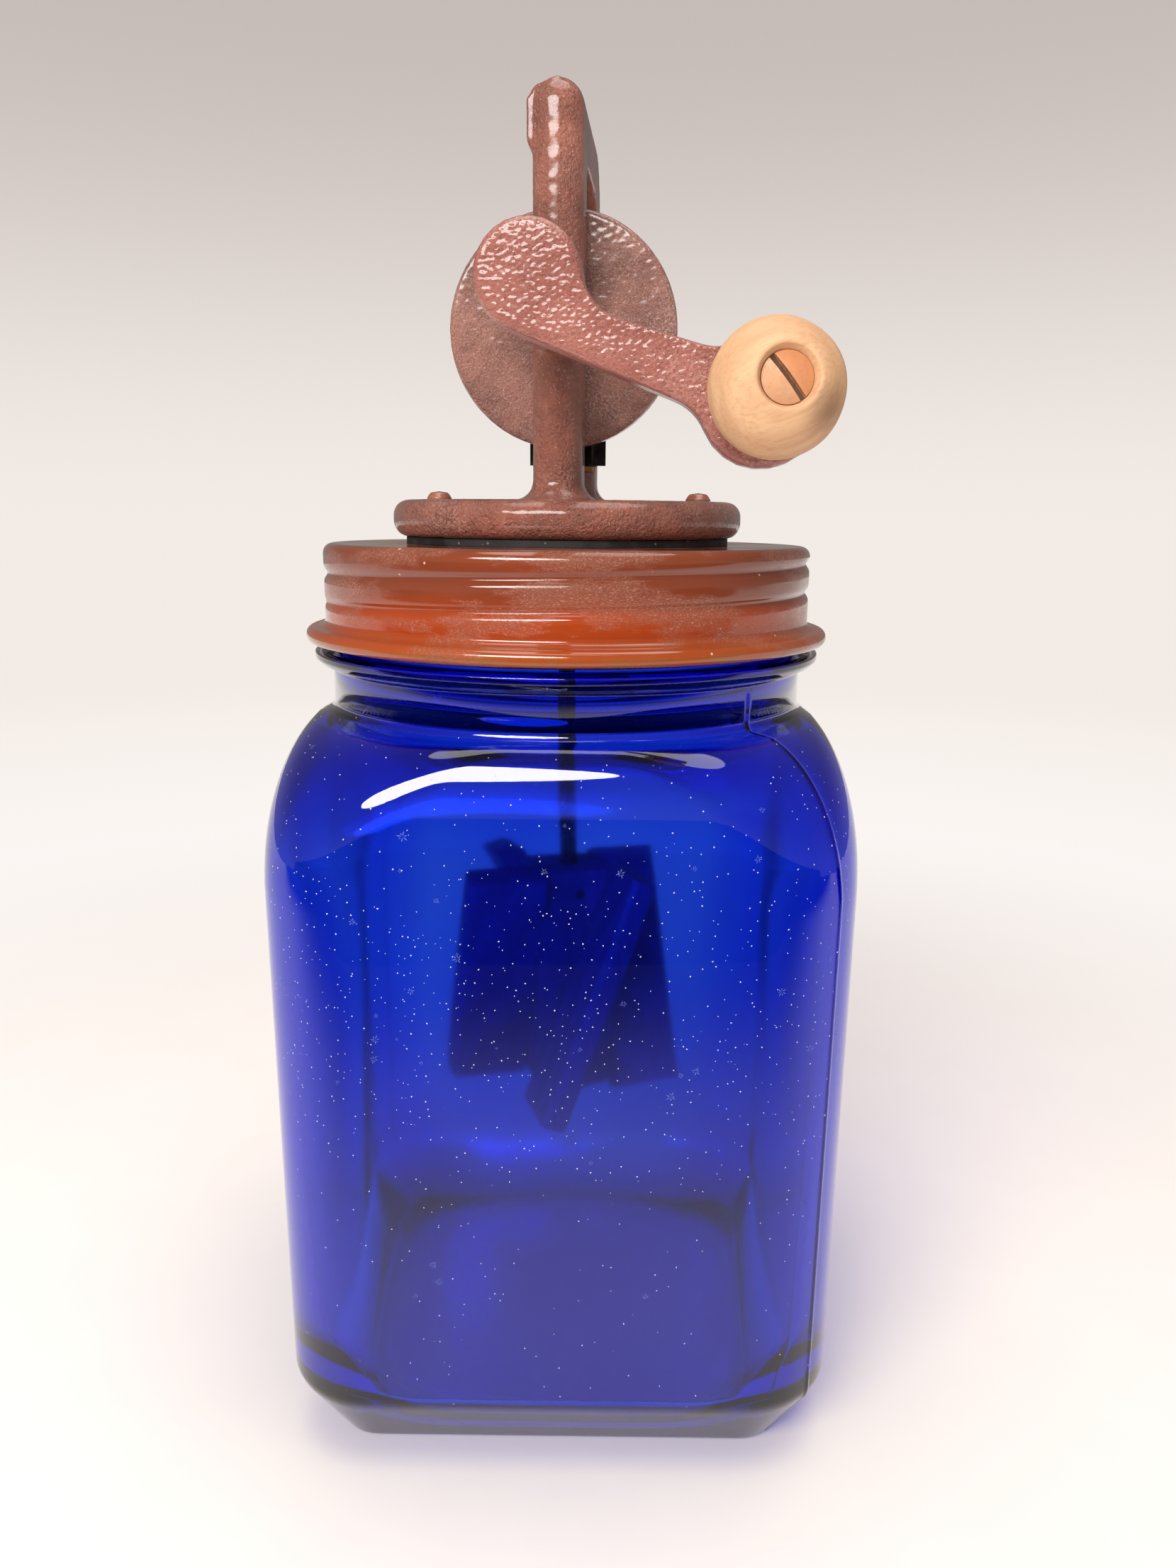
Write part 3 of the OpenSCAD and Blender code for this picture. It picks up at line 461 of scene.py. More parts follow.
@dataclass(frozen=True)
class CastPaint(Finish):
    """Brown paint on sand-cast iron."""

    name: str = "casting_paint"
    colour: Colour = linear(168, 100, 80)
    dark: Colour = linear(124, 72, 58)
    # pale is the colour of the painted highlights on the glints and of the dry overspray grains
    pale: Colour = linear(220, 182, 168)
    grain: float = 1250.0
    relief: float = 0.0017
    gloss: float = 0.2
    # share of the painted highlight on the glints
    glint: float = 0.4
    coat: float = 0.8
    flow: float = 1.0

    def dress(self, on: Surface) -> None:
        """Paint with painted shade in the pits of the casting and painted highlights on its grains, which are
        also glossier.
        """
        wires, place = on.wires, on.place
        sand = on.use("sand", wires.stretched(place, (1.0, 1.0, self.flow)), Grain=self.grain)
        tone = wires.noise(place, 70.0, 4.0, 0.6)
        paint = wires.blend(wires.ramp(tone, 0.34, 0.68), self.dark, self.colour)
        # painted shade: the pits of the casting darkened
        paint = wires.tint(sand["Pits"], 0.55, paint, self.dark)
        # painted highlight: glints on the grains lightened toward the pale colour
        paint = wires.tint(sand["Glints"], self.glint, paint, self.pale)
        drift = on.use("drift", place, Scale=52.0, Amount=0.55, Grain=1700.0)
        paint = wires.tint(drift["Grain"], 0.3, paint, self.pale)
        on.set(Base_Color=paint)
        rough = wires.minus(self.gloss + 0.1, wires.times(sand["Glints"], 0.2))
        on.set(Roughness=wires.plus(rough, wires.times(sand["Pits"], 0.15)))
        on.set(Coat_Weight=self.coat, Coat_Roughness=0.12)
        on.bump(sand["Height"], self.relief)


@dataclass(frozen=True)
class RawWood(Finish):
    """Bare turned wood with fibres along one direction."""

    name: str = "knob_wood"
    colour: Colour = linear(214, 172, 130)
    dark: Colour = linear(190, 140, 102)
    turn: tuple[float, float, float] = (0.0, 0.35, 0.0)
    rings: float = 210.0
    fibres: float = 1500.0
    dark_patch_at: tuple[float, float, float] = (0.0, 0.0, -1.0)
    dark_patch_r: float = 0.0045
    dark_patch: Colour = linear(132, 98, 74)
    rough: float = 0.62

    def dress(self, on: Surface) -> None:
        """Fine fibres, soft growth bands and one darker patch."""
        wires, place = on.wires, on.place
        along = wires.stretched(place, (1.0, 1.0, 1.0), self.turn)
        grain = on.use("grain", along, Rings=self.rings, Fibres=self.fibres)
        wood = wires.tint(grain["Tone"], 0.45, self.colour, self.dark)
        wood = wires.blend(wires.ramp(grain["Fibre"], 0.42, 0.7, 0.0, 0.5), wood, self.dark)
        far = wires.vector("DISTANCE", place, self.dark_patch_at)
        ragged = wires.plus(far, wires.times(wires.noise(along, 420.0), 0.003))
        # darker patch around one point of the surface, with a ragged edge
        dark_patch_mask = wires.ramp(ragged, self.dark_patch_r + 0.0032, self.dark_patch_r * 0.35, 0.0, 0.75)
        on.set(Base_Color=wires.blend(dark_patch_mask, wood, self.dark_patch))
        on.set(Roughness=wires.plus(self.rough, wires.times(grain["Pores"], 0.2)))
        on.bump(grain["Fibre"], 0.00012, 0.7)


@dataclass(frozen=True)
class Metal(Finish):
    """Bare or blackened metal with rubbed places and thin scratches."""

    name: str = "dark_steel"
    colour: Colour = linear(70, 64, 62)
    rubbed: Colour = linear(138, 128, 122)
    metallic: float = 1.0
    rough: float = 0.38

    def dress(self, on: Surface) -> None:
        """Metal that is brighter and smoother where it was rubbed."""
        wires, place = on.wires, on.place
        rub = on.use("rub", place, Scale=240.0)
        skin = wires.tint(rub["Blotch"], 0.55, self.colour, self.rubbed)
        skin = wires.tint(rub["Scratch"], 0.6, skin, self.rubbed)
        on.set(Base_Color=skin)
        on.set(Metallic=self.metallic)
        on.set(Roughness=wires.minus(self.rough + 0.12, wires.times(rub["Blotch"], 0.2)))
        on.bump(wires.plus(rub["Blotch"], rub["Scratch"]), 0.00004)


@dataclass(frozen=True)
class SlottedHead(Metal):
    """Metal of a screw head, with painted shade in and along its slot and on one half of the head."""

    centre: tuple[float, float, float] = (0.0, 0.0, 0.0)
    across: tuple[float, float, float] = (1.0, 0.0, 0.0)
    half: float = 0.00045
    slot_shade: Colour = linear(82, 48, 32)
    warm: Colour = linear(206, 124, 72)

    def dress(self, on: Surface) -> None:
        """Plain metal, with painted shade: warmer and darker on one side of the slot, and dark in the slot.
        """
        wires, place = on.wires, on.place
        super().dress(on)
        plain = on.shader.inputs["Base Color"].links[0].from_socket
        off = wires.vector("SUBTRACT", place, self.centre)
        side = wires.vector("DOT_PRODUCT", off, self.across)
        # painted shade: one half of the head shifted to a warmer, darker tone
        half_shaded = wires.blend(wires.ramp(side, 0.0, 0.001, 0.0, 0.55), plain, self.warm)
        ragged = wires.plus(wires.math("ABSOLUTE", side), wires.times(wires.noise(place, 1600.0), 0.0002))
        # painted shade: dark in and along the slot
        slot_shade_mask = wires.ramp(ragged, self.half + 0.0002, self.half, 0.0, 0.92)
        on.set(Base_Color=wires.blend(slot_shade_mask, half_shaded, self.slot_shade))


@dataclass(frozen=True)
class Rubber(Finish):
    """Old rubber with a dusty bloom."""

    name: str = "black_rubber"
    colour: Colour = linear(20, 19, 20)
    bloom: Colour = linear(64, 60, 60)

    def dress(self, on: Surface) -> None:
        """Matt rubber, paler where dust sits on it."""
        wires, place = on.wires, on.place
        rub = on.use("rub", place, Scale=170.0)
        dust = on.use("specks", place, Scale=900.0, Share=0.12, Size=0.22)
        skin = wires.tint(rub["Blotch"], 0.4, self.colour, self.bloom)
        on.set(Base_Color=wires.tint(dust["Mask"], 0.5, skin, linear(150, 140, 135)))
        on.set(Roughness=wires.plus(0.55, wires.times(rub["Blotch"], 0.25)))
        on.bump(wires.noise(place, 1600.0, 3.0), 0.00006)


@dataclass(frozen=True)
class DustFleck(Finish):
    """Pale dust and dried flecks on the glass."""

    name: str = "dust_fleck"
    colour: Colour = linear(242, 244, 250)
    alpha: float = 1.0

    def dress(self, on: Surface) -> None:
        """Matt pale matter, thinner in places."""
        wires, place = on.wires, on.place
        thin = wires.noise(place, 2400.0, 2.0)
        on.set(Base_Color=wires.tint(thin, 0.7, self.colour, linear(150, 168, 226)))
        on.set(Roughness=0.9)
        on.set(Alpha=wires.ramp(thin, 0.25, 0.7, self.alpha * 0.5, self.alpha))


GLASS = CobaltGlass()
CAP_PAINT = CapPaint()
CASTING_PAINT = CastPaint()
ARM_PAINT = CastPaint(
    name="arm_paint", colour=linear(184, 116, 102), dark=linear(156, 88, 76), pale=linear(226, 180, 168),
    grain=1400.0, relief=0.0017, gloss=0.26, glint=0.3, coat=0.8, flow=1.5,
)
GEAR_PAINT = CastPaint(
    name="gear_paint", colour=linear(168, 116, 102), dark=linear(126, 82, 72), pale=linear(232, 204, 192),
    grain=1700.0, relief=0.0015, gloss=0.16, glint=0.55, coat=0.9,
)
RIVET_PAINT = CastPaint(name="rivet_paint", grain=1500.0, relief=0.0001)
DASHER_WOOD = RawWood(
    name="dasher_wood", colour=linear(212, 188, 156), dark=linear(180, 152, 120),
    turn=(0.0, math.pi / 2, 0.0), rings=120.0, fibres=1000.0, rough=0.5,
)
DARK_STEEL = Metal()
WASHER_STEEL = Metal(
    name="washer_steel", colour=linear(120, 108, 100), rubbed=linear(188, 178, 170), rough=0.34,
)
BRONZE = Metal(name="bronze", colour=linear(142, 98, 58), rubbed=linear(206, 160, 104), rough=0.32)
PINION_IRON = Metal(
    name="pinion_iron", colour=linear(22, 20, 20), rubbed=linear(62, 56, 54), metallic=0.6, rough=0.42,
)
SCREW_BRASS = SlottedHead(
    name="screw_brass", colour=linear(200, 148, 108), rubbed=linear(216, 168, 130), metallic=0.12, rough=0.45,
    centre=(0.039472, -0.075, 0.224488), across=(0.7743, 0.16, 0.6126),
)
GASKET = Rubber()
SEAL = Rubber(name="seal_rubber", colour=linear(196, 186, 170), bloom=linear(214, 206, 194))
DUST = DustFleck()
FROST = DustFleck(name="dried_fleck", colour=linear(132, 156, 226), alpha=0.42)


# -------------------------------------------------------------- mesh helpers


def new_object(name: str, data: bpy.types.ID) -> Thing:
    """Puts a mesh, a lamp or a camera into the scene under a name."""
    made = bpy.data.objects.new(name, data)
    bpy.context.scene.collection.objects.link(made)
    return made


def loft(name: str, rings: Sequence[Sequence[Vector]], start: Vector | None, end: Vector | None) -> Thing:
    """Skins rings of points into a smooth mesh.

    Args:
        name: Name of the object.
        rings: Rings with the same number of points, anticlockwise seen from the path's outside.
        start: Point that closes the first ring, or None to join it to the last ring.
        end: Point that closes the last ring.

    Returns:
        The new object.
    """
    count = len(rings[0])
    verts = [p for ring in rings for p in ring]
    faces: list[tuple[int, ...]] = []
    pairs = [(i, i + 1) for i in range(len(rings) - 1)]
    if start is None:
        pairs.append((len(rings) - 1, 0))
    for low, high in pairs:
        for j in range(count):
            k = (j + 1) % count
            faces.append((low * count + j, low * count + k, high * count + k, high * count + j))
    if start is not None and end is not None:
        verts += [start, end]
        last = (len(rings) - 1) * count
        for j in range(count):
            k = (j + 1) % count
            faces.append((len(verts) - 2, k, j))
            faces.append((last + j, last + k, len(verts) - 1))
    mesh = bpy.data.meshes.new(name)
    mesh.from_pydata(verts, [], faces)
    mesh.validate()
    mesh.shade_smooth()
    return new_object(name, mesh)


def rounded(corners: Sequence[tuple[float, float, float]], steps: int = 5) -> Profile:
    """Rounds the corners of a half section.

    Args:
        corners: Radius, height and rounding of each corner.
        steps: Number of steps in each rounding.

    Returns:
        The points of the rounded section.
    """
    points: Profile = []
    for i, (r, z, fillet) in enumerate(corners):
        here = Vector((r, z))
        if fillet == 0 or i in (0, len(corners) - 1):
            points.append((r, z))
            continue
        before = Vector(corners[i - 1][:2]) - here
        after = Vector(corners[i + 1][:2]) - here
        angle = before.angle(after)
        cut = min(fillet / math.tan(angle / 2), 0.49 * before.length, 0.49 * after.length)
        first, second = here + before.normalized() * cut, here + after.normalized() * cut
        for k in range(steps + 1):
            t = k / steps
            at = first * (1 - t) ** 2 + here * 2 * t * (1 - t) + second * t * t
            points.append((at.x, at.y))
    return points


def lathe(name: str, section: Profile, steps: int, place: Matrix | None = None) -> Thing:
    """Turns a half section, from its lower middle to its upper middle, about Z.

    Args:
        name: Name of the object.
        section: Radius and height of each point; the first and last lie on the axis.
        steps: Points around.
        place: Where the turned shape goes.

    Returns:
        The new object.
    """
    place = place or Matrix.Identity(4)
    rings = [[place @ polar(r, a, z) for a in circle(steps)] for r, z in section[1:-1]]
    first, last = (place @ Vector((0.0, 0.0, section[i][1])) for i in (0, -1))
    return loft(name, rings, first, last)


def cad_copy(node: str, name: str) -> Thing:
    """Copies a node of the frame as a joined mesh.

    Args:
        node: Name of the node.
        name: Name of the copy.

    Returns:
        The new object.
    """
    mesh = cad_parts[node].data.copy()
    mesh.name = name
    mesh.materials.clear()
    work = bmesh.new()
    work.from_mesh(mesh)
    bmesh.ops.remove_doubles(work, verts=work.verts, dist=1e-6)
    bmesh.ops.dissolve_limit(work, angle_limit=math.radians(0.5), verts=work.verts, edges=work.edges)
    work.to_mesh(mesh)
    work.free()
    for layer in [a.name for a in mesh.attributes if a.name == "custom_normal"]:
        mesh.attributes.remove(mesh.attributes[layer])
    return new_object(name, mesh)


def mark(piece: Thing, name: str, values: Sequence[float]) -> None:
    """Gives each point of a piece a value under a name."""
    piece.data.attributes.new(name, "FLOAT", "POINT").data.foreach_set("value", values)


def settle(piece: Thing) -> Thing:
    """Turns a piece with modifiers into a plain mesh.

    Args:
        piece: The object.

    Returns:
        The same object, with its evaluated mesh and no modifiers.
    """
    bpy.context.view_layer.update()
    graph = bpy.context.evaluated_depsgraph_get()
    mesh = bpy.data.meshes.new_from_object(piece.evaluated_get(graph), depsgraph=graph)
    old = piece.data
    piece.modifiers.clear()
    piece.data = mesh
    bpy.data.meshes.remove(old)
    mesh.name = piece.name
    return piece


def put(piece: Thing, body: Body, slot: Slot, *nodes: str) -> Thing:
    """Lets a piece ride on a body, and stand for nodes of the frame.

    Args:
        piece: The object.
        body: Body that it moves with.
        slot: Record slot of its finish; not used.
        *nodes: Nodes that it stands for.

    Returns:
        The piece.
    """
    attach(piece, body.value)
    if nodes:
        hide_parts(*nodes)
    log.info("%s rides on %s, %d faces", piece.name, body.value, len(piece.data.polygons))
    return piece


def dress_node(node: str, finish: Finish) -> None:
    """Gives a node of the frame a finish."""
    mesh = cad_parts[node].data
    mesh.materials.clear()
    mesh.materials.append(finish.material())
    log.info("%s keeps its solid, in %s", node, finish.name)


# ------------------------------------------------------------ geometry trees


class ShapeTree:
    """A Geometry Nodes tree with named inputs."""

    def __init__(self, name: str, inputs: dict[str, str]) -> None:
        """Starts the tree.

        Args:
            name: Name of the tree.
            inputs: Socket type by input name.
        """
        self.tree = bpy.data.node_groups.new(name, "GeometryNodeTree")
        self.tree.is_modifier = True
        self.tree.interface.new_socket("Geometry", in_out="INPUT", socket_type="NodeSocketGeometry")
        for label, kind in inputs.items():
            self.tree.interface.new_socket(label, in_out="INPUT", socket_type=kind)
        self.tree.interface.new_socket("Geometry", in_out="OUTPUT", socket_type="NodeSocketGeometry")
        self.wires = Wires(self.tree)
        self.ins = {s.name: s for s in self.wires.node("NodeGroupInput").outputs if s.name}

    def close(self, shape: Socket) -> "ShapeTree":
        """Ends the tree in Realize Instances and Set Material, and returns it."""
        real = self.wires.node("GeometryNodeRealizeInstances", {0: shape})
        inputs = {"Geometry": real.outputs[0], "Material": self.ins["Material"]}
        skin = self.wires.node("GeometryNodeSetMaterial", inputs)
        self.wires.node("NodeGroupOutput", {0: skin.outputs[0]})
        return self

    def apply(self, piece: Thing, **values: object) -> Thing:
        """Runs the tree on a piece.

        Args:
            piece: The object whose mesh goes in.
            **values: Inputs by name, with _ for a space.

        Returns:
            The piece as a plain mesh.
        """
        keys = {s.name: s.identifier for s in self.tree.interface.items_tree if s.in_out == "INPUT"}
        modifier = piece.modifiers.new(self.tree.name, "NODES")
        modifier.node_group = self.tree
        for label, value in values.items():
            modifier[keys[label.replace("_", " ")]] = value
        return settle(piece)


def cast_skin_tree() -> ShapeTree:
    """Builds the tree that roughens a casting, most on the side that faces one way."""
    tree = ShapeTree("cast_skin", {
        "Material": "NodeSocketMaterial", "Grain": "NodeSocketFloat", "Depth": "NodeSocketFloat",
        "Facing": "NodeSocketVector", "Face Depth": "NodeSocketFloat", "Stretch": "NodeSocketVector",
    })
    wires, ins = tree.wires, tree.ins
    place = wires.node("GeometryNodeInputPosition").outputs[0]
    normal = wires.node("GeometryNodeInputNormal").outputs[0]
    at = wires.vector("MULTIPLY", place, ins["Stretch"])
    fine = wires.minus(wires.noise(at, ins["Grain"], 2.0, 0.5), 0.5)
    broad = wires.minus(wires.noise(at, wires.times(ins["Grain"], 0.12), 2.0, 0.5), 0.5)
    facing = wires.vector("DOT_PRODUCT", normal, ins["Facing"])
    front = wires.ramp(facing, 0.9, 0.985)
    depth = wires.plus(ins["Depth"], wires.times(front, ins["Face Depth"]))
    lift = wires.times(wires.plus(fine, wires.times(broad, 0.4)), depth)
    step = wires.node("ShaderNodeVectorMath", {0: normal, "Scale": lift}, operation="SCALE").outputs[0]
    moved = wires.node("GeometryNodeSetPosition", {"Geometry": ins["Geometry"], "Offset": step})
    smooth = wires.node("GeometryNodeSetShadeSmooth", {0: moved.outputs[0]})
    return tree.close(smooth.outputs[0])


def ring_tree() -> ShapeTree:
    """Builds the tree that repeats a piece around the churn's upright axis."""
    tree = ShapeTree("round_the_rod", {"Material": "NodeSocketMaterial", "Count": "NodeSocketInt"})
    wires, ins = tree.wires, tree.ins
    points = wires.node("GeometryNodePoints", {"Count": ins["Count"], "Position": (0.0, 0.0, 0.0)})
    index = wires.node("GeometryNodeInputIndex").outputs[0]
    angle = wires.math("DIVIDE", wires.times(index, 2 * math.pi), ins["Count"])
    spread = wires.node("GeometryNodeInstanceOnPoints", {
        "Points": points.outputs[0], "Instance": ins["Geometry"], "Rotation": wires.about_z(angle),
    })
    return tree.close(spread.outputs[0])


def scatter_tree(name: str, fleck: Thing) -> ShapeTree:
    """Builds the tree that scatters copies of a fleck over a surface.

    Args:
        name: Name of the tree.
        fleck: The object that is scattered.

    Returns:
        The tree. It reads the surface's own "dust" attribute as the density.
    """
    tree = ShapeTree(name, {
        "Material": "NodeSocketMaterial", "Density": "NodeSocketFloat", "Seed": "NodeSocketInt",
        "Smallest": "NodeSocketFloat", "Largest": "NodeSocketFloat",
    })
    wires, ins = tree.wires, tree.ins
    share = wires.node("GeometryNodeInputNamedAttribute", {"Name": "dust"}, data_type="FLOAT").outputs[0]
    dense = wires.times(share, ins["Density"])
    seed = ins["Seed"]
    where = {0: ins["Geometry"], "Density": dense, "Seed": seed}
    points = wires.node("GeometryNodeDistributePointsOnFaces", where)
    sizes = {2: ins["Smallest"], 3: ins["Largest"], "Seed": seed}
    size = wires.node("FunctionNodeRandomValue", sizes, data_type="FLOAT")
    spin = wires.node("FunctionNodeRandomValue", {2: 0.0, 3: 2 * math.pi, "Seed": 5}, data_type="FLOAT")
    turns = {0: points.outputs["Rotation"], 1: wires.about_z(spin.outputs[1])}
    turn = wires.node("FunctionNodeRotateRotation", turns, rotation_space="LOCAL")
    shape = wires.node("GeometryNodeObjectInfo", {"Object": fleck})
    spread = wires.node("GeometryNodeInstanceOnPoints", {
        "Points": points.outputs[0], "Instance": shape.outputs["Geometry"],
        "Rotation": turn.outputs[0], "Scale": size.outputs[1],
    })
    return tree.close(spread.outputs[0])


# -------------------------------------------------------------- sub-assemblies


@dataclass(frozen=True)
class Thread:
    """A screw thread about Z that fades in and out. Its ends and fades are counted in turns."""

    foot_z: float
    half: float
    height: float
    start: float
    end: float
    fade_in: float
    fade_out: float
    pitch: float = 6.3 * MM
    sharp: float = 1.0
    laps: int = 2

    def rise(self, angle: float, z: float) -> float:
        """Height of the thread at a direction and a level, 0 where there is none."""
        turn = (angle + math.pi / 2 - self.start * math.tau) % math.tau / math.tau + self.start
        best = 0.0
        for lap in range(self.laps):
            along = turn + lap
            fade = min(1.0, (along - self.start) / self.fade_in, (self.end - along) / self.fade_out)
            away = (z - self.foot_z - along * self.pitch) / self.half
            best = max(best, fade * math.exp(-away * away * self.sharp))
        return best * self.height


@dataclass
class Jar:
    """Square glass jar with a round neck, its threads, its mould seam and the dust on it."""

    half: float = 62.2 * MM
    heel_half: float = 61.0 * MM
    foot_half: float = 50.0 * MM
    corner_r: float = 20.0 * MM
    heel_h: float = 18.5 * MM
    heel_edge: float = 0.8
    floor_round: float = 13.0 * MM
    widest_z: float = 137.0 * MM
    corner_z: float = 128.0 * MM
    shoulder_z: float = 163.0 * MM
    wall: float = 3.8 * MM
    floor_t: float = 4.5 * MM
    turn: float = math.radians(4.0)
    neck_r: float = 54.3 * MM
    ring_r: float = 58.3 * MM
    ring_z: float = 173.1 * MM
    ring_h: float = 3.1 * MM
    finish_r: float = 53.2 * MM
    rim_z: float = 196.72 * MM
    mouth_r: float = 49.0 * MM
    fuse: float = 0.4 * MM
    neck_fillet: float = 1.6 * MM
    push_up: float = 1.2 * MM
    screw: Thread = Thread(183.6 * MM, 0.95 * MM, 0.5 * MM, 0.0, 1.45, 0.06, 0.06)
    seam_h: float = 0.35 * MM
    wave: float = 0.8 * MM
    corner_fill: float = 3.0 * MM
    bowl_h: float = 26.0 * MM
    bowl_r: float = 0.62
    dust_z: float = 112.0 * MM
    dust_spread: float = 34.0 * MM
    dust_low: float = 17.0 * MM
    dust_least: float = 0.14
    steps: int = 232

    def width(self, z: float, inset: float, base: float, neck: float, top: float) -> float:
        """Half width of a face at a height.

        Args:
            z: Height.
            inset: Distance inside the outer skin.
            base: Height of this skin's foot.
            neck: Radius that the shoulder runs into.
            top: Height of the shoulder's top.

        Returns:
            The half width.
        """
        if z < self.heel_h:
            low = base + self.floor_round - z if inset else 0.0
            pinch = 0.4 * (self.floor_round - math.sqrt(max(0.0, self.floor_round ** 2 - max(0.0, low) ** 2)))
            share = self.heel_share(z / self.heel_h)
            return self.foot_half + (self.heel_half - self.foot_half) * share - inset - pinch
        if z < self.widest_z:
            climb = (z - self.heel_h) / (self.widest_z - self.heel_h)
            return self.heel_half + (self.half - self.heel_half) * climb - inset
        share = math.sqrt(max(0.0, 1 - ((z - self.widest_z) / (top - self.widest_z)) ** 2))
        return neck + (self.half - inset - neck) * share

    def heel_share(self, t: float) -> float:
        """Width of the tapered foot at a share of its height: straight, then rounded at its edge."""
        if t < self.heel_edge:
            return t * 2 / (1 + self.heel_edge)
        return 1 - (1 - t) ** 2 / (1 - self.heel_edge ** 2)

    def corner(self, z: float, width: float, inset: float, base: float, neck: float, top: float) -> float:
        """Corner radius at a height, with the same arguments as width and the width itself."""
        fill = self.corner_fill - inset if inset else 0.0
        if z < self.corner_z:
            found = self.corner_r + fill
            if z < self.heel_h:
                found = max(0.4 * MM, self.corner_r - self.heel_half + width + fill + inset)
            bowl = max(0.0, 1 - (z - base) / self.bowl_h) ** 1.4 if inset else 0.0
            return found + (self.bowl_r * width - found) * bowl
        share = math.sqrt(max(0.0, 1 - ((z - self.corner_z) / (top - self.corner_z)) ** 2))
        root = math.sqrt(2)
        reach_full = (self.half - self.corner_r) * root + self.corner_r - inset
        reach = neck + (reach_full - neck) * share
        return min(width - 0.1 * MM, max(self.corner_r + fill, (root * width - reach) / (root - 1)))

    def angles(self) -> list[float]:
        """Directions of the points of a ring, closer together at the two seams."""
        found = circle(self.steps)
        for seam in self.seams():
            found += [seam + math.radians(d) for d in (-0.75, -0.45, -0.25, 0.25, 0.45, 0.75)]
        return sorted(a % (2 * math.pi) for a in found)

    def seams(self) -> tuple[float, float]:
        """Directions of the two mould seams, on opposite corners."""
        return math.radians(315.0), math.radians(135.0)

    @staticmethod
    def reach(angle: float, width: float, corner: float) -> float:
        """Distance from the middle to a rounded square.

        Args:
            angle: Direction.
            width: Half width of the square.
            corner: Radius of its corners.

        Returns:
            The distance.
        """
        c, s = abs(math.cos(angle)), abs(math.sin(angle))
        c, s = max(c, s), min(c, s)
        flat = width - corner
        if width * s / c <= flat:
            return width / c
        lean = flat * (c + s)
        return lean + math.sqrt(max(0.0, lean * lean - 2 * flat * flat + corner * corner))

    def body_levels(self, inset: float, base: float, neck: float, top: float) -> list[Level]:
        """Heights, half widths and corners of one skin from its foot to the top of its shoulder."""
        heel = between(base, self.heel_h, 30)
        side = between(self.heel_h, self.widest_z, 44)[1:-1]
        rise = top - self.widest_z
        shoulder = [self.widest_z + rise * math.sin(math.radians(90 * k / 26)) for k in range(27)]
        levels = []
        for z in heel + side + shoulder:
            w = self.width(z, inset, base, neck, top)
            levels.append((z, w, self.corner(z, w, inset, base, neck, top)))
        return levels

    def neck_section(self) -> Profile:
        """Half section of the neck, ring and rim outside, from the shoulder up to the mouth."""
        top = self.ring_z + self.ring_h
        lip = 1.2 * MM
        low = self.shoulder_z + self.neck_fillet
        section = rounded([
            (self.neck_r, low, 0), (self.neck_r, self.ring_z - lip, 0.8 * MM),
            (self.ring_r - lip, self.ring_z, 0.6 * MM), (self.ring_r, self.ring_z + lip, 0.8 * MM),
            (self.ring_r, top - lip / 2, 0.5 * MM), (self.ring_r - lip, top, 0.5 * MM),
            (self.finish_r, top, 0.5 * MM), (self.finish_r, top + 1.2 * MM, 0),
        ])
        climb = between(top + 1.2 * MM, self.rim_z - 2.0 * MM, 34)[1:]
        section += [(self.finish_r, z) for z in climb]
        section += rounded([
            (self.finish_r, self.rim_z - 1.8 * MM, 0), (self.finish_r, self.rim_z, 1.2 * MM),
            (self.mouth_r, self.rim_z, 1.2 * MM), (self.mouth_r, self.rim_z - 2.4 * MM, 0),
        ])
        return section

    @staticmethod
    def no_swell(angle: float, r: float, z: float) -> float:
        """Leaves a ring as it is."""
        return 0.0

    def thread(self, angle: float, r: float, z: float) -> float:
        """How far the glass thread stands out at a place on the finish."""
        return self.screw.rise(angle, z)

    def ring(self, z: float, width: float, corner: float, swell: Swell) -> list[Vector]:
        """Points of one level, turned as the jar is, each moved out by what swell gives."""
        points = []
        for angle in self.angles():
            r = self.reach(angle, width, corner)
            r += swell(angle, r, z)
            points.append(polar(r, angle + self.turn, z))
        return points

    def seam_lift(self, angle: float, r: float, z: float) -> float:
        """Ridge of the mould seam, with the outer skin's slow waves."""
        lift = 0.0
        for seam in self.seams():
            away = abs((angle - seam + math.pi) % (2 * math.pi) - math.pi) * r
            lift += self.seam_h * math.exp(-((away / (0.42 * MM)) ** 2))
        calm = min(1.0, z / (20 * MM), max(0.0, (self.shoulder_z + 8 * MM - z) / (20 * MM)))
        at = polar(r, angle, z) / 0.045
        return lift - 0.12 * MM * calm * (0.5 + 0.5 * hills.noise(at))

    def inner_wave(self, angle: float, r: float, z: float) -> float:
        """Uneven thickness of the wall, as the inner skin shows it."""
        below, above = max(0.0, z - 8 * MM), max(0.0, self.shoulder_z - 3 * MM - z)
        calm = min(1.0, below / (14 * MM), above / (16 * MM))
        at = polar(r / 0.030, angle, z / 0.055)
        return self.wave * calm * hills.noise(at)

    def build(self) -> Thing:
        """Builds the glass as one closed wall, outside and inside.

        Returns:
            The jar's glass, with its "dust" attribute set.
        """
        flat = self.no_swell
        outer = self.body_levels(0.0, 0.0, self.neck_r - self.fuse, self.shoulder_z)
        rings, dusty = [], []

        def add(level: Level, swell: Swell, dust: float) -> None:
            """Adds one ring with its share of dust."""
            rings.append(self.ring(*level, swell))
            dusty.append(dust)

